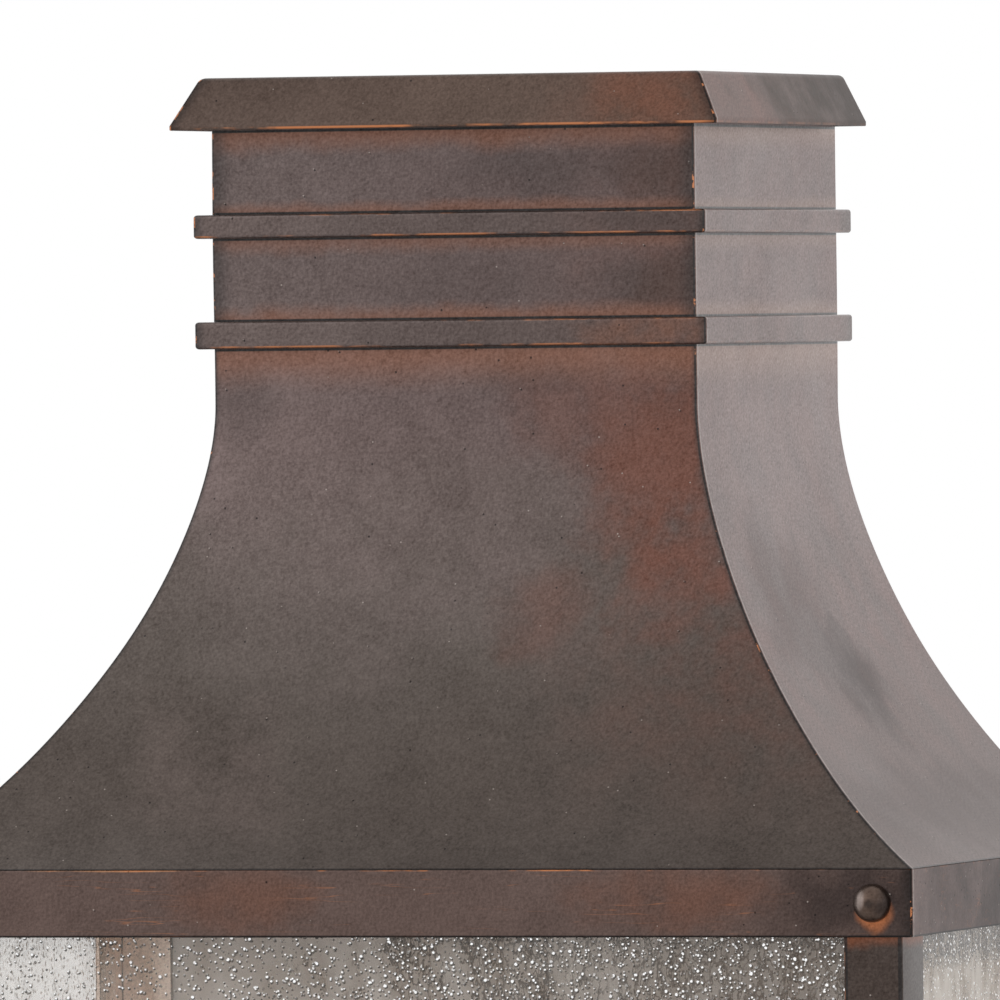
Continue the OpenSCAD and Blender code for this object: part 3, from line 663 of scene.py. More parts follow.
@dataclass(frozen=True)
class SeededGlass:
    """Rolled glass full of small seeds: bright beads, painted highlights made mirror-like, each with a
    dark edge of painted shade.

    Attributes:
        name: The material's name.
        veil: The light haze of the glass.
        dusk: The haze where the seeds crowd.
        bead: A seed's bright middle, a painted highlight.
        rim: A seed's dark edge, painted shade.
        body: The haze's share.
        top: Height of the panes' top, below which the side panes' seeds crowd and painted shade darkens
            them.
    """

    name: str
    veil: str = "fff5e9"
    dusk: str = "b5a28e"
    bead: str = "ffffff"
    rim: str = "30261e"
    body: float = 0.1
    top: float = 0.0

    def build(self) -> bpy.types.Material:
        """Writes the material.

        Two sizes of scattered cells give the seeds, painted bright. The same cells a little
        lower give their dark edges in painted shade, and noise stretched in z crowds them into
        streaks and darkens the haze there.

        Returns:
            The material.
        """
        g = Graph(bpy.data.materials.new(self.name))
        streak = g.noise(11, 3, 0.6, g.stretched((1, 1, 0.3)))
        ragged = g.noise(1.6, 3, 0.7)
        below = g.shifted((-0.00024, 0.0, 0.0003))
        across = g.axis(0)
        flank = abs(across).ease(139, 142)
        near_top = g.axis(2).ease(self.top - 13, self.top - 7) * across.ease(-60, 60).most(0.3)
        crowd = across.least(140) * 0.0032 * (1 - flank) + flank * (near_top * 0.25 + 0.02)
        bare = flank * (1 - near_top)
        beads: Sock | float = 0.0
        rims: Sock | float = 0.0
        # painted highlights: bright seeds; painted shade: their dark edges a little lower
        for size, share in ((2.2, 0.42), (1.45, 0.3)):
            for vector, dark in ((None, False), (below, True)):
                reach = g.cells(size, vector=vector) + (ragged - 0.5) * 0.42
                chance = g.one_of(g.cells(size, "Color", vector)) + (streak - 0.5) * 1.6 + crowd
                kept = chance.ease(share, share + 0.03)
                if dark:
                    shown = 1 - bare * chance.ease(0.95, 0.8)
                    rims = (reach.ease(0.36, 0.24) * kept * shown).most(rims)
                else:
                    beads = (reach.ease(0.26, 0.15) * kept).most(beads)
        threads = abs(g.noise(5.5, 3, 0.65, g.stretched((1, 1, 0.45))) - 0.5).ease(0.04, 0.012)
        rims = rims.most(threads * (streak + crowd).ease(0.48, 0.58) * (1 - bare) * 0.9)
        # painted shade on the side panes just under the roof
        rims = rims.most(flank * near_top * ragged.ease(0.48, 0.55) * 0.9)
        colour = g.mix(streak.ease(0.42, 0.66), self.veil, self.dusk)
        colour = g.mix(rims, colour, self.rim)
        colour = g.mix(beads, colour, self.bead)
        slant = g.node("ShaderNodeLayerWeight", {}, {"Blend": 0.5}, "Facing")
        # painted reflection: the front pane turns browner and hazier towards the right, where it shows
        # darker surroundings
        reflection_dimming = across.ease(20, 150) * (1 - flank)
        colour = g.mix(reflection_dimming * (1 - beads) * 0.7, colour, "5d4d3f")
        steep = slant * slant * slant * slant
        haze = steep * g.known("outer") * 1.3 + reflection_dimming * 0.07 + self.body
        alpha = (beads * 0.95).most(rims * 0.85).most(haze)
        height = beads * 0.6 + streak * 0.8 + ragged * 0.3
        return g.finish(
            Base_Color=colour,
            Metallic=beads,
            Roughness=0.08,
            IOR=1.5,
            Alpha=alpha,
            Normal=g.bump(height, 0.6, 0.5),
        )


@dataclass(frozen=True)
class ClearGlass:
    """The thin clear glass of a bulb."""

    name: str

    def build(self) -> bpy.types.Material:
        """Writes the material: faint alpha with drawn streaks."""
        g = Graph(bpy.data.materials.new(self.name))
        streak = g.noise(6, 2, 0.5, g.stretched((1, 1, 0.2)))
        return g.finish(
            Base_Color="f4efe4",
            Roughness=0.03,
            IOR=1.5,
            Alpha=streak * 0.12 + 0.1,
        )


# ---------------------------------------------------------------------- meshes


def add_object(name: str, data: bpy.types.ID) -> bpy.types.Object:
    """Puts a new object of that data into the scene."""
    made = bpy.data.objects.new(name, data)
    bpy.context.scene.collection.objects.link(made)
    return made


def write_mesh(
    name: str, points: np.ndarray, faces: np.ndarray, numbers: dict[str, np.ndarray] | None = None
) -> bpy.types.Object:
    """Puts whole arrays into a new mesh and merges what lies on one spot.

    Args:
        name: The piece's name.
        points: Places of the vertices, in millimetres, one row each.
        faces: Four vertex numbers to a face.
        numbers: Values that the mesh carries at each vertex.

    Returns:
        The new object, at the origin.
    """
    mesh = bpy.data.meshes.new(name)
    mesh.vertices.add(len(points))
    mesh.vertices.foreach_set("co", (points * MM).astype(np.float32).ravel())
    mesh.loops.add(faces.size)
    mesh.loops.foreach_set("vertex_index", faces.astype(np.int32).ravel())
    mesh.polygons.add(len(faces))
    mesh.polygons.foreach_set("loop_start", np.arange(0, faces.size, 4, dtype=np.int32))
    mesh.update(calc_edges=True)
    for key, values in (numbers or {}).items():
        layer = mesh.attributes.new(key, "FLOAT", "POINT")
        layer.data.foreach_set("value", values.astype(np.float32).ravel())
    work = bmesh.new()
    work.from_mesh(mesh)
    bmesh.ops.remove_doubles(work, verts=work.verts, dist=MERGE_GAP)
    if work.calc_volume(signed=True) < 0:
        bmesh.ops.reverse_faces(work, faces=work.faces)
    work.to_mesh(mesh)
    work.free()
    mesh.validate()
    return add_object(name, mesh)


def skin(
    name: str,
    grid: np.ndarray,
    wrap_rows: bool = False,
    numbers: dict[str, np.ndarray] | None = None,
    sharp: float = 40.0,
) -> bpy.types.Object:
    """Makes a surface through a grid of points, whose last column joins the first.

    Args:
        name: The piece's name.
        grid: Points by row and column, in millimetres.
        wrap_rows: Whether the last row joins the first.
        numbers: Values at the points, each broadcast to the grid.
        sharp: Angle in degrees above which an edge stays sharp.

    Returns:
        The new object.
    """
    rows, cols = grid.shape[:2]
    index = np.arange(rows * cols).reshape(rows, cols)
    below = index if wrap_rows else index[:-1]
    above = np.roll(index, -1, 0) if wrap_rows else index[1:]
    corners_of = [below, np.roll(below, -1, 1), np.roll(above, -1, 1), above]
    faces = np.stack(corners_of, -1).reshape(-1, 4)
    values = {key: np.broadcast_to(value, (rows, cols)) for key, value in (numbers or {}).items()}
    made = write_mesh(name, grid.reshape(-1, 3), faces, values)
    soften(made, sharp)
    return made


def soften(piece: bpy.types.Object, sharp: float) -> None:
    """Shades a piece smooth, apart from edges above that angle in degrees."""
    mesh = piece.data
    mesh.polygons.foreach_set("use_smooth", np.ones(len(mesh.polygons), bool))
    mesh.set_sharp_from_angle(angle=math.radians(sharp))
    mesh.update()


def turned(name: str, profile: np.ndarray, centre: Vector, steps: int) -> bpy.types.Object:
    """Turns a profile round an axis that comes out of the wall.

    Args:
        name: The piece's name.
        profile: Radius and height, by row; it starts and ends on the axis or closes on itself.
        centre: Where the axis's zero lies, in millimetres.
        steps: Columns round the axis.

    Returns:
        The new object.
    """
    turn = np.linspace(0, 2 * np.pi, steps, endpoint=False)
    radius, height = profile[:, :1], np.repeat(profile[:, 1:], steps, 1)
    parts = (radius * np.cos(turn), -height, radius * np.sin(turn))
    return skin(name, np.stack(parts, -1) + np.array(centre), sharp=30.0)


def arc(centre: tuple[float, float], radius: float, start: float, end: float, steps: int) -> np.ndarray:
    """Points on a circle's arc, from one angle in degrees to another."""
    turn = np.radians(np.linspace(start, end, steps + 1))
    return np.stack([centre[0] + radius * np.cos(turn), centre[1] + radius * np.sin(turn)], -1)


def polyline(points: list[tuple[float, float]], step: float) -> np.ndarray:
    """Points along straight runs, no further apart than step.

    Args:
        points: The corners of the line.
        step: The longest gap.

    Returns:
        The points by row, with every corner among them.
    """
    runs = []
    for a, b in zip(points, points[1:]):
        a, b = np.array(a, float), np.array(b, float)
        count = max(1, math.ceil(float(np.linalg.norm(b - a)) / step))
        runs.append(a + (b - a) * np.linspace(0, 1, count, endpoint=False)[:, None])
    return np.concatenate([*runs, np.array(points[-1:], float)])


def joined(*runs: np.ndarray) -> np.ndarray:
    """Runs of points, or of numbers, as one."""
    return np.concatenate(runs)


@dataclass(frozen=True)
class Plan:
    """How the square plan of a roof piece is cut into columns.

    Attributes:
        radius: Rounding of the corners, in millimetres.
        arc_steps: Steps round a corner.
        front_steps: Steps along the front or back.
        flank_steps: Steps along a flank.
    """

    radius: float = 0.7
    arc_steps: int = 5
    front_steps: int = 70
    flank_steps: int = 50

    def ring(
        self,
        half: np.ndarray,
        front: np.ndarray,
        back: np.ndarray,
        z: np.ndarray,
        open_back: bool = False,
    ) -> tuple[np.ndarray, dict[str, np.ndarray]]:
        """Rounded rectangles, one to a level, seen from above counterclockwise.

        Each side is a straight run whose points crowd towards its ends, and each
        corner a quarter circle.

        Args:
            half: Half the width at each level.
            front: The front's y at each level.
            back: The back's y at each level.
            z: The level's height.
            open_back: Leaves out the back side, for a strip round front and flanks.

        Returns:
            The grid of points, and the arris and flank values of its columns.
        """
        radius = np.minimum(self.radius, np.minimum(half, (back - front) / 2) * 0.98)
        quarter = np.radians(np.linspace(0, 90, self.arc_steps + 1))
        corners = []
        for sx, edge, turn in ((1, front, -90), (1, back, 0), (-1, back, 90), (-1, front, 180)):
            cx = sx * (half - radius)
            cy = edge + radius * (1 if edge is front else -1)
            angle = quarter + math.radians(turn)
            across = cx[:, None] + radius[:, None] * np.cos(angle)
            along = cy[:, None] + radius[:, None] * np.sin(angle)
            corners.append(np.stack([across, along], -1))
        fr, br, bl, fl = corners
        if open_back:
            square_r = np.stack([half, back], -1)[:, None]
            square_l = np.stack([-half, back], -1)[:, None]
            order = [square_l, fl, fr, square_r]
            counts = [self.flank_steps, self.front_steps, self.flank_steps]
        else:
            order = [fl, fr, br, bl, fl]
            counts = [self.front_steps, self.flank_steps, self.front_steps, self.flank_steps]
        parts = [order[0]]
        for here, after, count in zip(order, order[1:], counts):
            share = (0.5 - 0.5 * np.cos(np.pi * np.linspace(0, 1, count + 1)[1:-1]))[None, :, None]
            parts.append(here[:, -1:] + (after[:, :1] - here[:, -1:]) * share)
            parts.append(after)
        flat = np.concatenate(parts, 1)
        if not open_back:
            flat = flat[:, : -(self.arc_steps + 1)]
        grid = np.concatenate([flat, np.broadcast_to(z[:, None, None], flat.shape[:2] + (1,))], -1)
        to_front = flat[..., 1] - front[:, None]
        to_flank = half[:, None] - np.abs(flat[..., 0])
        return grid, {
            "arris": np.clip(to_front - to_flank, -60, 60),
            "flank": np.clip((to_front - to_flank) / self.radius * 0.5 + 0.5, 0, 1),
        }


def waver(grid: np.ndarray, size: float) -> np.ndarray:
    """Adds the faint waviness of hand-worked sheet.

    The shift is a sum of three slow sine waves in x, y and z, up to size
    millimetres, and is the same for both faces of a sheet.

    Args:
        grid: Points by row and column.
        size: The largest shift, in millimetres.

    Returns:
        The moved points.
    """
    x, y, z = grid[..., 0], grid[..., 1], grid[..., 2]
    shift = (
        np.sin(x / 17 + z / 29 + 1.3) * np.sin(z / 21 + y / 33)
        + 0.6 * np.sin(x / 9 - z / 13 + 0.4)
        + 0.5 * np.sin(y / 11 + z / 15 + 2.1)
    )
    out = grid.copy()
    out[..., 0] += np.sign(x) * np.clip(np.abs(x) / 20, 0, 1) * shift * size / 2
    out[..., 1] += np.where(y < -6, -shift * size / 2, 0)
    return out


def softened_copy(name: str, node: str, width: float) -> bpy.types.Object:
    """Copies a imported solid, merges its triangles and rounds its edges.

    Args:
        name: The new piece's name.
        node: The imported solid.
        width: Width of the rounded edges, in millimetres; 0 leaves them.

    Returns:
        The new object.
    """
    work = bmesh.new()
    work.from_mesh(FRAME["nodes"][node].data)
    bmesh.ops.remove_doubles(work, verts=work.verts, dist=MERGE_GAP)
    bmesh.ops.dissolve_limit(
        work,
        angle_limit=math.radians(FLAT_ANGLE),
        verts=work.verts,
        edges=work.edges,
        use_dissolve_boundaries=False,
    )
    fresh = bpy.data.meshes.new(name)
    work.to_mesh(fresh)
    work.free()
    made = add_object(name, fresh)
    for key in [a.name for a in fresh.attributes if a.name == "custom_normal"]:
        fresh.attributes.remove(fresh.attributes[key])
    soften(made, EDGE_ANGLE)
    if width:
        bevel = made.modifiers.new("edges", "BEVEL")
        bevel.width = width * MM
        bevel.segments = EDGE_STEPS
        bevel.limit_method = "ANGLE"
        bevel.angle_limit = math.radians(EDGE_ANGLE)
        bevel.use_clamp_overlap = True
        bevel.harden_normals = True
        bevel.material = 1
    return made


def settle(
    piece: bpy.types.Object,
    body: Body,
    slot: Slot,
    nodes: tuple[str, ...],
    *materials: bpy.types.Material,
) -> None:
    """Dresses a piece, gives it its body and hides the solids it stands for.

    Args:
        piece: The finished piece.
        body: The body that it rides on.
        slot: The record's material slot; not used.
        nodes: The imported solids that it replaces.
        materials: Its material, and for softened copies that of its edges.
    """
    piece.data.materials.clear()
    for material in materials:
        piece.data.materials.append(material)
    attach(piece, body.value)
    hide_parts(*nodes)
    LOG.info("%s rides on %s", piece.name, body.value)


def dress_copies(body: Body, rows: list[tuple[str, Slot, bpy.types.Material, float]]) -> None:
    """Makes and dresses softened copies.

    Args:
        body: The body that they ride on.
        rows: For each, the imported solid, the slot, the finish and the edges' width.
    """
    for node, slot, coat, bevel in rows:
        settle(softened_copy(f"{node}_soft", node, bevel), body, slot, (node,), coat, coat)


def even(tone: str) -> dict[str, str]:
    """The four broad tones of aged copper as one colour."""
    return dict.fromkeys(("plain", "cool", "warm", "low"), tone)


# ------------------------------------------------------------------------ roof


@dataclass
class Roof:
    """The bell, its skirt, the banded chimney and its cap. All have a flat back."""

    skirt_w: float = 304.8
    skirt_d: float = 207.6
    eave_z: float = 170.0
    skirt_h: float = 19.2
    bell_h: float = 147.3
    straight: float = 15.7
    pull_top: float = 42.2
    pull_bottom: float = 51.7
    angle: float = 57.3
    sheet: float = 1.2
    ledge: float = 13.0
    back: float = -0.5
    neck_w: float = 144.6
    neck_d: float = 144.6
    band_out: float = 4.3
    lower_band_h: float = 7.8
    upper_band_h: float = 6.8
    band_gap: float = 23.9
    cap_gap: float = 24.3
    band_round: float = 0.9
    cap_h: float = 15.0
    cap_out: float = 9.6
    cap_top_out: float = 3.2
    cap_lip: float = 1.3
    cap_round: float = 2.4
    levels: int = 150
    plan: Plan = field(default_factory=Plan)

    def __post_init__(self) -> None:
        """Works out the heights."""
        self.skirt_top = self.eave_z + self.skirt_h
        self.bell_top = self.skirt_top + self.bell_h
        self.upper_z = self.bell_top + self.lower_band_h + self.band_gap
        self.cap_z = self.upper_z + self.upper_band_h + self.cap_gap
        self.cap_top = self.cap_z + self.cap_h
        self.skirt_front = self.back - self.skirt_d
        self.neck_front = self.back - self.neck_d

    def flare(self) -> tuple[np.ndarray, np.ndarray]:
        """The bell's edge: distance out of the neck's side, and height.

        A straight neck runs into a cubic curve through four control points.
        """
        reach = (self.skirt_w - self.neck_w) / 2
        lean = math.radians(self.angle)
        top, pull = self.bell_top - self.straight, self.pull_bottom
        low = [reach - pull * math.sin(lean), self.skirt_top + pull * math.cos(lean)]
        control = np.array([[0, top], [0, top - self.pull_top], low, [reach, self.skirt_top]])
        u = np.linspace(1, 0, self.levels)[:, None]
        curve = (
            (1 - u) ** 3 * control[0]
            + 3 * (1 - u) ** 2 * u * control[1]
            + 3 * (1 - u) * u**2 * control[2]
            + u**3 * control[3]
        )
        neck = polyline([tuple(control[0]), (0, self.bell_top + self.lower_band_h / 2)], 2.0)[1:]
        return joined(curve[:, 0], neck[:, 0]), joined(curve[:, 1], neck[:, 1])

    def bell(self, coat: bpy.types.Material) -> None:
        """The bell: one sheet, drawn in from the skirt to the chimney."""
        out, z = self.flare()
        share = (self.skirt_d - self.neck_d) / ((self.skirt_w - self.neck_w) / 2)
        run = np.gradient(out, z)
        half, front = self.neck_w / 2 + out, self.neck_front - out * share
        thick_x = self.sheet * np.sqrt(1 + run**2)
        thick_y = self.sheet * np.sqrt(1 + (run * share) ** 2)
        back = np.full_like(z, self.back)
        halves = joined(half, (half - thick_x)[::-1])
        fronts = joined(front, (front + thick_y)[::-1])
        backs = joined(back, back - self.sheet)
        heights = joined(z, z[::-1])
        grid, numbers = self.plan.ring(halves, fronts, backs, heights)
        piece = skin("roof_bell", waver(grid, 0.14), wrap_rows=True, numbers=numbers)
        settle(piece, Body.ROOF, Slot.COPPER, ("roof_shell",), coat)

    def skirt(self, coat: bpy.types.Material) -> None:
        """The upright skirt at the eaves, with its inner ledge."""
        w, f, b, t = self.skirt_w / 2, self.skirt_front, self.back, self.sheet
        edge = 0.45
        low, top = self.eave_z, self.skirt_top
        outline = joined(
            arc((-edge, low + edge), edge, -90, 0, 3),
            polyline([(0, low + 2 * edge), (0, top - 2 * edge)], 1.2),
            arc((-edge, top - edge), edge, 0, 90, 3),
            polyline([(-2 * edge, top), (-self.ledge, top)], 4),
            polyline([(-self.ledge, top - t), (-t, top - t)], 4),
            polyline([(-t, top - t - 0.1), (-t, low)], 6),
        )
        out, z = outline.T
        grid, numbers = self.plan.ring(w + out, f - out, b + out, z)
        piece = skin("roof_skirt_wall", waver(grid, 0.1), wrap_rows=True, numbers=numbers)
        settle(piece, Body.ROOF, Slot.COPPER, ("roof_skirt",), coat)

    def chimney(self, coat: bpy.types.Material) -> None:
        """The square chimney wall behind the bands."""
        low, top = self.bell_top + self.lower_band_h / 2, self.cap_top - self.sheet
        z = polyline([(0, low), (0, top)], 1.0)[:, 1]
        heights = joined(z, z[::-1])
        inset = joined(np.zeros_like(z), np.full_like(z, self.sheet))
        grid, numbers = self.plan.ring(
            self.neck_w / 2 - inset, self.neck_front + inset, self.back - inset, heights
        )
        piece = skin("chimney_wall", waver(grid, 0.12), wrap_rows=True, numbers=numbers)
        settle(piece, Body.ROOF, Slot.COPPER, ("chimney_tube",), coat)

    def band(self, name: str, node: str, z: float, h: float, coat: bpy.types.Material) -> None:
        """A flat band with rounded edges, round the front and flanks.

        Args:
            name: The piece's name.
            node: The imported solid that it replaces.
            z: The band's lower edge.
            h: Its height.
            coat: Its finish.
        """
        r, o = self.band_round, self.band_out
        outline = joined(
            polyline([(0, z), (o - r, z)], 0.6)[:-1],
            arc((o - r, z + r), r, -90, 0, 5),
            polyline([(o, z + r), (o, z + h - r)], 0.5)[1:-1],
            arc((o - r, z + h - r), r, 0, 90, 5),
            polyline([(o - r, z + h), (0, z + h)], 0.6)[1:],
        )
        out, height = outline.T
        back = np.full_like(out, self.back)
        half, front = self.neck_w / 2 + out, self.neck_front - out
        grid, numbers = self.plan.ring(half, front, back, height, open_back=True)
        grid = np.swapaxes(waver(grid, 0.08), 0, 1)
        ends = [np.broadcast_to(grid[i].mean(0), grid[i].shape) for i in (0, -1)]
        grid = np.concatenate([ends[0][None], grid, ends[1][None]])
        values = {}
        for key, value in numbers.items():
            column = np.swapaxes(np.broadcast_to(value, (len(out), grid.shape[0] - 2)), 0, 1)
            values[key] = np.concatenate([column[:1], column, column[-1:]])
        piece = skin(name, grid, numbers=values)
        settle(piece, Body.ROOF, Slot.COPPER, (node,), coat)

    def cap(self, coat: bpy.types.Material) -> None:
        """The cap: an upright lip, a slope, a rounded top edge and a flat top.

        Its rear lies a little in front of the chimney's, which shows there.
        """
        rise = self.cap_h - self.cap_lip
        lean = math.degrees(math.atan((self.cap_out - self.cap_top_out) / rise))
        inward = self.cap_round * math.cos(math.radians(lean))
        centre = (self.cap_top_out - inward, self.cap_top - self.cap_round)
        curve = arc(centre, self.cap_round, lean, 90, 8)
        lip = (self.cap_out, self.cap_z + self.cap_lip)
        nose = 0.3
        outer = joined(
            arc((self.cap_out - nose, self.cap_z + nose), nose, -90, 0, 3),
            polyline([lip, tuple(curve[0])], 0.8),
            curve[1:],
        )
        inner = outer[3:] - np.array([self.sheet, self.sheet])
        inner[0] = (self.cap_out - self.sheet, self.cap_z)
        levels = []
        rear_gap = 0.4
        for line, inset in ((outer, rear_gap), (inner, rear_gap + self.sheet)):
            back = self.back - inset
            out, z = line.T
            half, front = self.neck_w / 2 + out, self.neck_front - out
            rear = np.full_like(out, back)
            shrink = np.array([0.93, 0.8, 0.5, 0.2, 0.0])
            middle = (front[-1] + back) / 2
            half = joined(half, half[-1] * shrink)
            front = joined(front, middle + (front[-1] - middle) * shrink)
            rear = joined(rear, middle + (back - middle) * shrink)
            levels.append((half, front, rear, joined(z, np.full(len(shrink), z[-1]))))
        parts = [joined(a[::-1], b) for a, b in zip(levels[1], levels[0])]
        grid, numbers = self.plan.ring(*parts)
        flat = np.ptp(parts[3]) - (parts[3] - parts[3].min()) < 0.02
        for key, level in (("arris", -60.0), ("flank", 0.0)):
            numbers[key] = np.where(flat[:, None], level, numbers[key])
        piece = skin("chimney_lid", waver(grid, 0.1), numbers=numbers)
        settle(piece, Body.ROOF, Slot.COPPER, ("chimney_cap",), coat)

    def screw(self, side: int, coat: bpy.types.Material) -> None:
        """A domed roof screw: shank, collar and dome, turned about its own axis.

        Args:
            side: 1 on the right and -1 on the left.
            coat: Its finish.
        """
        dome_r, dome_h, collar, shank = 5.4, 4.4, 0.6, 2.1
        to_nut, nut, past = 6.3, 3.0, 1.2
        length = to_nut + nut + past
        ball = (dome_r**2 + dome_h**2) / (2 * dome_h)
        sweep = math.degrees(math.asin(dome_r / ball))
        dome = arc((0, collar + dome_h - ball), ball, 90 - sweep, 90, 20)
        tip, chamfer, inset = -length, 0.4, 11.7
        profile = joined(
            polyline([(0, tip), (shank - chamfer, tip), (shank, tip + chamfer), (shank, 0)], 1.0),
            polyline([(dome_r - 0.05, 0), (dome_r, 0.1), (dome_r, collar - 0.1)], 0.3),
            dome,
        )
        across = side * (self.skirt_w / 2 - inset)
        centre = Vector((across, self.skirt_front, self.eave_z + self.skirt_h / 2))
        word = "right" if side > 0 else "left"
        piece = turned(f"dome_screw_{word}", profile, centre, 72)
        body = Body.SCREW_RIGHT if side > 0 else Body.SCREW_LEFT
        settle(piece, body, Slot.FITTINGS, (f"roof_screw_{word}",), coat)

    def build(self) -> None:
        """Builds and dresses every piece of the roof."""
        top, upper = self.bell_top + self.lower_band_h, self.upper_z + self.upper_band_h
        # The first colour darkens faces: as smudges here and there, and as painted shade towards the
        # right corners and on the lower flanks.
        smudge_and_shade, rust = "2f2320", "613626"
        wall = AgedCopper(
            "copper_wall",
            plain="5a4946",
            cool="625350",
            # painted reflected light: warm bands under the cap and beside the bands
            glows=(
                Glow(self.cap_z - 0.5, -8, 0.8),
                Glow(upper, 4.5, 0.6),
                Glow(self.upper_z, -6, 0.55),
                Glow(top, 6, 0.7),
            ),
            # painted shade: thin black lines where the bands and the cap meet the wall
            creases=(
                Glow(self.cap_z - 0.45, 0.5),
                Glow(upper + 0.25, 0.55),
                Glow(self.upper_z - 0.3, 0.5),
                Glow(top + 0.25, 0.55),
            ),
            patches=(
                Patch(24, 386, 26, 9, smudge_and_shade, 0.5),
                Patch(58, 387, 16, 10, smudge_and_shade, 0.55),
                Patch(58, 354, 22, 9, smudge_and_shade, 0.65),
                # painted shade: darker patches towards the right corner
                Patch(66, 384, 18, 16, "42271b", 0.55),
                Patch(66, 352, 18, 14, "42271b", 0.55),
                Patch(0, 355, 30, 9, smudge_and_shade, 0.25),
            ),
            corner_dark=7,
            arrises=True,
        ).build()
        bell = AgedCopper(
            "copper_bell",
            chips=0.65,
            # painted reflected light below the lower band, and painted shade in thin lines at the band
            # and at the skirt
            glows=(Glow(self.bell_top, -14, 0.75),),
            creases=(Glow(self.bell_top - 0.3, 0.5), Glow(self.skirt_top + 0.1, 0.35, 0.7)),
            patches=(
                Patch(66, 300, 26, 46, rust, 1.0),
                Patch(34, 318, 26, 20, rust, 0.5),
                Patch(30, 262, 16, 14, rust, 0.4),
                Patch(-65, 322, 14, 12, smudge_and_shade, 0.35),
                Patch(20, 328, 20, 8, smudge_and_shade, 0.35),
                Patch(-62, 215, 26, 26, "62544f", 0.4),
                # painted shade on the lower flank
                Patch(-110, 262, 36, 26, smudge_and_shade, 0.4, on_flank=True),
                Patch(-88, 238, 26, 19, smudge_and_shade, 0.75, on_flank=True),
                Patch(-90, 203, 130, 14, smudge_and_shade, 0.35, on_flank=True),
            ),
            corner_dark=2,
            arrises=True,
        ).build()
        lid = AgedCopper(
            "copper_cap",
            plain="58473e",
            cool="52423a",
            warm="613b2b",
            lacquer=0.3,
            worn=(Glow(self.cap_z + 0.35, 0.55),),
            patches=(
                Patch(60, 407, 20, 14, "6e4330", 0.6),
                # painted shade over the cap's flanks
                Patch(-20, 407, 90, 30, "38291f", 1.0, on_flank=True),
            ),
            corner_dark=4.5,
            rear_dark=60,
            arrises=True,
        ).build()
        bands = [
            AgedCopper(
                f"copper_{name}",
                plain="534440",
                cool="5f504c",
                patches=(Patch(62, z + 4, 26, 8, "704733" if h > 7 else "3a2c28", 0.7),),
                worn=(Glow(z + 0.5, 0.4, 0.8), Glow(z + h - 0.3, 0.3, 0.5)),
                corner_dark=4,
                rear_dark=13,
                arrises=True,
            ).build()
            for name, z, h in (
                ("upper_band", self.upper_z, self.upper_band_h),
                ("lower_band", self.bell_top, self.lower_band_h),
            )
        ]
        skirt = AgedCopper(
            "copper_skirt",
            chips=0.53,
            plain="594740",
            cool="615450",
            low="5d4b45",
            lacquer=0.62,
            scratched=True,
            crumbs=Patch(118, 180, 34, 22, smudge_and_shade, 0.0),
            worn=(Glow(self.skirt_top - 0.25, 0.35, 0.6),),
            # painted shade: a thin black line along the skirt's lower edge
            creases=(Glow(self.eave_z + 0.2, 0.5, 0.9),),
            patches=(
                Patch(-47, 181, 26, 11, "6b4636", 0.6),
                Patch(-84, self.skirt_top - 0.3, 26, 0.4, "c58a5c", 0.55),
                Patch(82, 181, 34, 11, "6b4433", 0.6),
                # painted shade towards the right corner and over the flank
                Patch(140, 180, 34, 24, smudge_and_shade, 0.9),
                Patch(-100, 180, 130, 30, smudge_and_shade, 0.9, on_flank=True),
                Patch(141.2, 175.2, 5.4, 5.0, "b06a40", 1.0, twice=True),
            ),
            corner_dark=5,
            arrises=True,
        ).build()
        self.bell(bell)
        self.skirt(skirt)
        self.chimney(wall)
        self.band("upper_band_strip", "upper_band", self.upper_z, self.upper_band_h, bands[0])
        self.band("lower_band_strip", "lower_band", self.bell_top, self.lower_band_h, bands[1])
        self.cap(lid)
        dome = AgedCopper(
            "copper_dome",
            **even("56443a"),
            rough=0.3,
            grain=0.5,
            patches=(
                # painted shade on the dome's right side and middle, and a painted highlight crescent on
                # its left; the left screw has them mirrored
                Patch(144.6, 179, 3.4, 5.2, "231713", 0.9, twice=True),
                Patch(140.9, 179.4, 1.6, 1.6, "1c1310", 0.8, twice=True),
                Patch(137.6, 180.4, 1.9, 3.6, "a3958f", 0.75, twice=True),
            ),
        ).build()
        for side in (1, -1):
            self.screw(side, dome)
        steel = Metal("zinc_steel", "a9aaab", "8b8c8e", 0.38).build()
        nuts = softened_copy("roof_screw_nuts", "roof_nuts", 0.25)
        settle(nuts, Body.ROOF, Slot.STEEL, ("roof_nuts",), steel, steel)


# ------------------------------------------------------------------------ cage


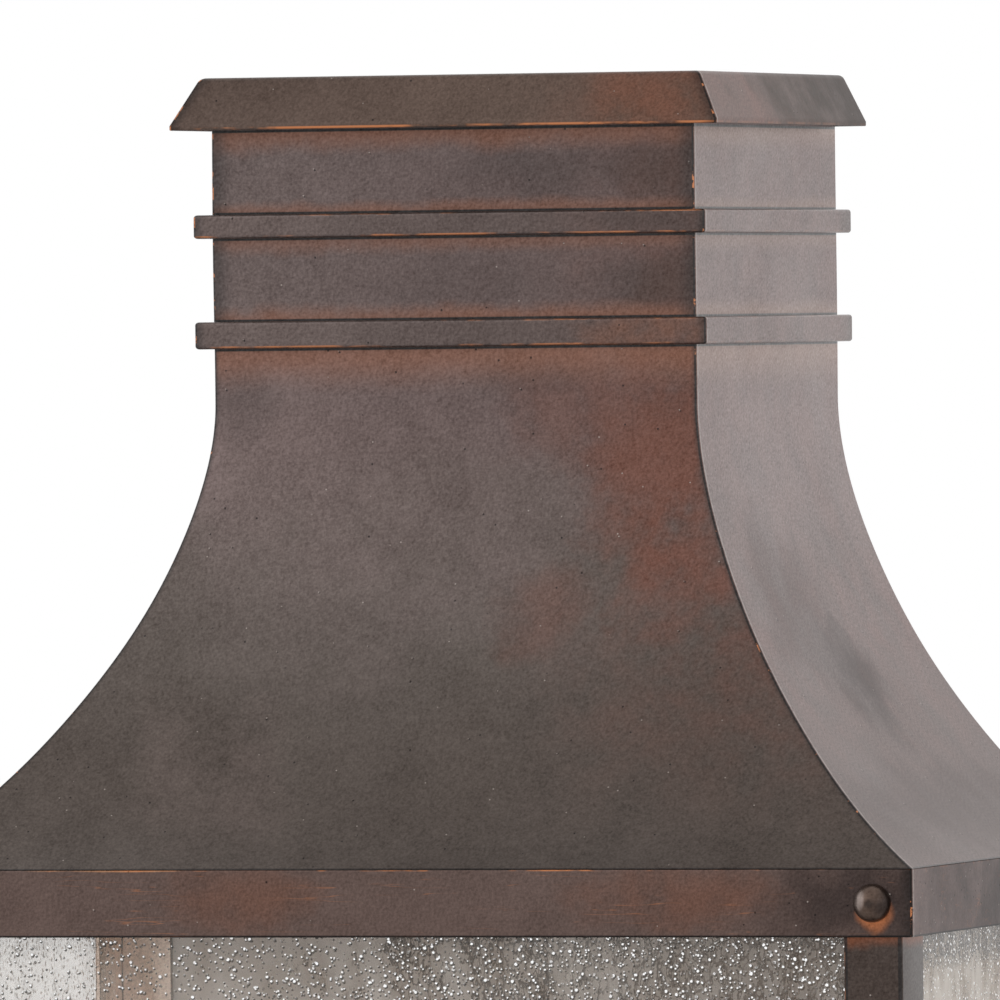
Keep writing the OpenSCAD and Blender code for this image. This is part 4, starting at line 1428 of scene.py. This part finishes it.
@dataclass
class Cage:
    """Corner posts, tie bars, base channel, pan, panes, clips and the back box."""

    eave_z: float = 170.0

    def panes(self, glass: bpy.types.Material) -> None:
        """The three panes: slabs whose faces waver like rolled glass."""
        for name, node in (("front", "glass_front"), ("left", "glass_left"), ("right", "glass_right")):
            low, high = (np.array(v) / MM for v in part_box(node))
            thin = int(np.argmin(high - low))
            wide, tall = 1 - thin, 2
            u = np.linspace(low[wide], high[wide], 90)
            v = np.linspace(low[tall], high[tall], 120)
            across, up = np.meshgrid(u, v)
            ripple = 0.12 * np.sin(across / 6.1 + np.sin(up / 23) * 2) * np.sin(up / 9.7 + across / 31)
            border = np.minimum.reduce([across - u[0], u[-1] - across, up - v[0], v[-1] - up])
            ripple = ripple * np.clip(border / 4, 0, 1) - 0.15 * np.clip(border / 0.5, 0, 1)
            sheets = []
            for face, sign in ((low[thin], -1), (high[thin], 1)):
                sheet = np.empty(across.shape + (3,))
                sheet[..., wide], sheet[..., tall] = across, up
                sheet[..., thin] = face + sign * ripple
                sheets.append(sheet)
            rim = np.concatenate([sheets[0], sheets[1][:, ::-1]], 1)
            outer = np.repeat([1.0, 0.0] if name != "right" else [0.0, 1.0], len(u))
            ends = [self.closing(rim[i]) for i in (0, -1)]
            grid = np.concatenate([ends[0][None], rim, ends[1][None]])
            piece = skin(f"pane_{name}", grid, sharp=50, numbers={"outer": outer})
            settle(piece, Body.LANTERN, Slot.PANE, (node,), glass)

    @staticmethod
    def closing(row: np.ndarray) -> np.ndarray:
        """A pane's end row drawn in to its middle line, which closes the end."""
        return (row + row[::-1]) / 2

    def build(self) -> None:
        """Builds and dresses every piece of the cage."""
        plain = AgedCopper(
            "copper_cage",
            **even("3d2f28"),
            lacquer=1.15,
            # painted reflected light: a warm band just under the eaves
            glows=(Glow(self.eave_z, -4, 0.9),),
            glow="824a2c",
        )
        frame = plain.build()
        # painted shade: two dark lines down each front post
        post = replace(plain, name="copper_posts", slits=(131.5, 147.3)).build()
        # painted reflection: the back posts' faces just before the wall are pale
        pale_back_posts = replace(plain, name="copper_posts_back", inner_pale=True).build()
        edge = RubbedEdge("copper_edges").build()
        for node, bevel, finish in (
            ("post_front_left", 0.35, post),
            ("post_front_right", 0.35, post),
            ("post_back_left", 0.35, pale_back_posts),
            ("post_back_right", 0.35, pale_back_posts),
            ("top_frame", 0.35, frame),
            ("base_frame", 0.4, frame),
            ("base_pan", 0.3, frame),
        ):
            piece = softened_copy(f"{node}_worn", node, bevel)
            settle(piece, Body.LANTERN, Slot.COPPER, (node,), finish, edge)
        panel = Coat("panel_paint", "f6ebe4", "e6dad2", 0.5, 1.4, 0.06).build()
        box = softened_copy("back_box_sheet", "back_box", 0.4)
        settle(box, Body.LANTERN, Slot.PANEL, ("back_box",), panel, panel)
        self.panes(SeededGlass("seeded_glass_panes", top=self.eave_z).build())
        brass = Metal("clip_brass", "b08a4a", "8a6a38", 0.34).build()
        steel = Metal("plated_steel", "a2a3a4", "85868a", 0.36).build()
        dark = Metal("dark_fittings", "7a5c4a", "523c30", 0.36).build()
        green = Coat("ground_green", "2e7a3c", "27692f", 0.4).build()
        rows = (
            ("glass_clips", Slot.BRASS, brass),
            ("base_screws", Slot.STEEL, steel),
            ("wall_bracket", Slot.STEEL, steel),
            ("mounting_screws", Slot.STEEL, steel),
            ("mounting_nuts", Slot.FITTINGS, dark),
            ("ground_screw", Slot.GREEN, green),
        )
        dress_copies(Body.LANTERN, [(*row, 0.15) for row in rows])


# ----------------------------------------------------------------------- lamps


@dataclass
class LampCluster:
    """The arm, the hub with its finial and the three candles with their bulbs."""

    candles: int = 3

    def build(self) -> None:
        """Builds and dresses every piece of the lamp cluster."""
        dark = Metal("cluster_copper", "7d5f4d", "4f3a2f", 0.34).build()
        brass = Metal("socket_brass", "c29a55", "9d7a42", 0.28).build()
        sleeve = Coat("sleeve_ivory", "e4dcc6", "d8ceb4", 0.45, 3.0, 0.12).build()
        black = Coat("phenolic_black", "1d1c1b", "252322", 0.42).build()
        amber = Coat("strand_amber", "e8b658", "d59d44", 0.6, 0.5).build()
        clear = ClearGlass("bulb_clear").build()
        cap = Metal("bulb_cap_metal", "b9b8b4", "9a9994", 0.3).build()
        rows = [
            ("arm_tube", Slot.FITTINGS, dark, 0.2),
            ("arm_collar", Slot.FITTINGS, dark, 0.3),
            ("arm_nut", Slot.BRASS, brass, 0.3),
            ("cluster_hub", Slot.FITTINGS, dark, 0.3),
            ("hub_finial", Slot.FITTINGS, dark, 0.2),
            ("candle_arms", Slot.FITTINGS, dark, 0.2),
            ("drip_cups", Slot.FITTINGS, dark, 0.2),
            ("candle_sleeves", Slot.SLEEVE, sleeve, 0.25),
            ("sockets", Slot.PHENOLIC, black, 0.2),
            ("socket_shells", Slot.BRASS, brass, 0.0),
        ]
        dress_copies(Body.LANTERN, rows)
        parts = (
            ("glass", Slot.BULB, clear),
            ("cap", Slot.BRASS, cap),
            ("filament", Slot.FILAMENT, amber),
        )
        for number in range(1, self.candles + 1):
            bulb = f"bulb_{number}"
            dress_copies(Body(bulb), [(f"{bulb}_{part}", slot, coat, 0.0) for part, slot, coat in parts])


# ------------------------------------------------------------------------ view


@dataclass
class Studio:
    """The camera at the photograph's place, the pale floor and plain soft light."""

    azimuth: float = 17.327
    pitch: float = 0.642
    roll: float = -0.675
    focal: float = 17250.855
    distance: float = 4998.985
    aim_across: float = -8.834
    aim_y: float = -72.826
    aim_z: float = 291.774
    picture: float = 1000.0
    sensor: float = 36.0
    floor_z: float = -175.0
    floor_reach: float = 2900.0

    def camera(self) -> None:
        """Places the camera: it looks along forward from a point that far from the aim."""
        a, e, r = (math.radians(v) for v in (self.azimuth, self.pitch, self.roll))
        right0 = Vector((math.cos(a), math.sin(a), 0))
        forward = Vector((-math.sin(a) * math.cos(e), math.cos(a) * math.cos(e), -math.sin(e)))
        up0 = right0.cross(forward)
        right = right0 * math.cos(r) + up0 * math.sin(r)
        up = -right0 * math.sin(r) + up0 * math.cos(r)
        aim = right0 * self.aim_across + Vector((0, self.aim_y, self.aim_z))
        place = (aim - forward * self.distance) * MM
        data = bpy.data.cameras.new("camera")
        data.sensor_width = self.sensor
        data.lens = self.focal / self.picture * self.sensor
        data.clip_start, data.clip_end = 0.1, 100
        camera = add_object("camera", data)
        rotation = Matrix((right, up, -forward)).transposed().to_4x4()
        camera.matrix_world = Matrix.Translation(place) @ rotation
        bpy.context.scene.camera = camera

    def surroundings(self) -> None:
        """A world that is white to the eye, in gloss and through glass, and plain otherwise."""
        world = bpy.data.worlds.new("studio")
        bpy.context.scene.world = world
        g = Graph(world)
        eye, gloss, through = (
            g.node("ShaderNodeLightPath", {}, {}, f"Is {ray} Ray")
            for ray in ("Camera", "Glossy", "Transmission")
        )
        seen = eye.most(gloss).most(through)
        strength = g.node("ShaderNodeMapRange", {}, {"Value": seen, "To Min": 0.8, "To Max": 1.0})
        back = g.node("ShaderNodeBackground", {}, {"Color": (1, 1, 1, 1), "Strength": strength})
        g.node("ShaderNodeOutputWorld", {}, {"Surface": back}, None)

    def lamps(self) -> None:
        """Two large soft lamps, above left and right of the camera."""
        for name, place, size, power in (
            ("key", (-1.6, -2.2, 1.9), 1.8, 6.0),
            ("fill", (2.2, -1.4, 1.0), 1.6, 4.0),
        ):
            data = bpy.data.lights.new(name, "AREA")
            data.shape, data.size, data.energy = "SQUARE", size, power
            lamp = add_object(name, data)
            lamp.location = place
            aim = Vector((0, -0.1, 0.15)) - Vector(place)
            lamp.rotation_euler = aim.to_track_quat("-Z", "Y").to_euler()

    def floor(self) -> None:
        """A plain pale floor under the lantern, which thins out into the white round it."""
        reach = self.floor_reach
        turn = np.linspace(0, 2 * np.pi, 96, endpoint=False)
        rim = np.stack([np.cos(turn), np.sin(turn), np.zeros_like(turn)], -1) * reach
        mesh = bpy.data.meshes.new("floor")
        mesh.from_pydata(((rim + (0, 0, self.floor_z)) * MM).tolist(), [], [list(range(len(rim)))])
        g = Graph(bpy.data.materials.new("floor_pale"))
        x, y = g.axis(0), g.axis(1)
        far = g.node("ShaderNodeMath", {"operation": "SQRT"}, {0: x * x + y * y})
        thin = far.ease(reach * 0.97, reach * 0.4)
        mesh.materials.append(g.finish(Base_Color=(0.9, 0.9, 0.9, 1), Roughness=0.9, Alpha=thin))
        add_object("floor", mesh)

    def build(self) -> None:
        """Sets up the whole studio."""
        self.camera()
        self.surroundings()
        self.lamps()
        self.floor()
        bpy.context.scene.view_settings.view_transform = "Standard"


def corners(box: tuple[Vector, Vector]) -> list[list[float]]:
    """A box's two corners as plain lists."""
    return [list(corner) for corner in box]


def main() -> None:
    """Loads the frame, sets up the studio and builds the sub-assemblies in order."""
    logging.basicConfig(level=logging.INFO, format="%(message)s")
    FRAME.update(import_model())
    Studio().build()
    Roof().build()
    Cage().build()
    LampCluster().build()


if __name__ == "__main__":
    main()
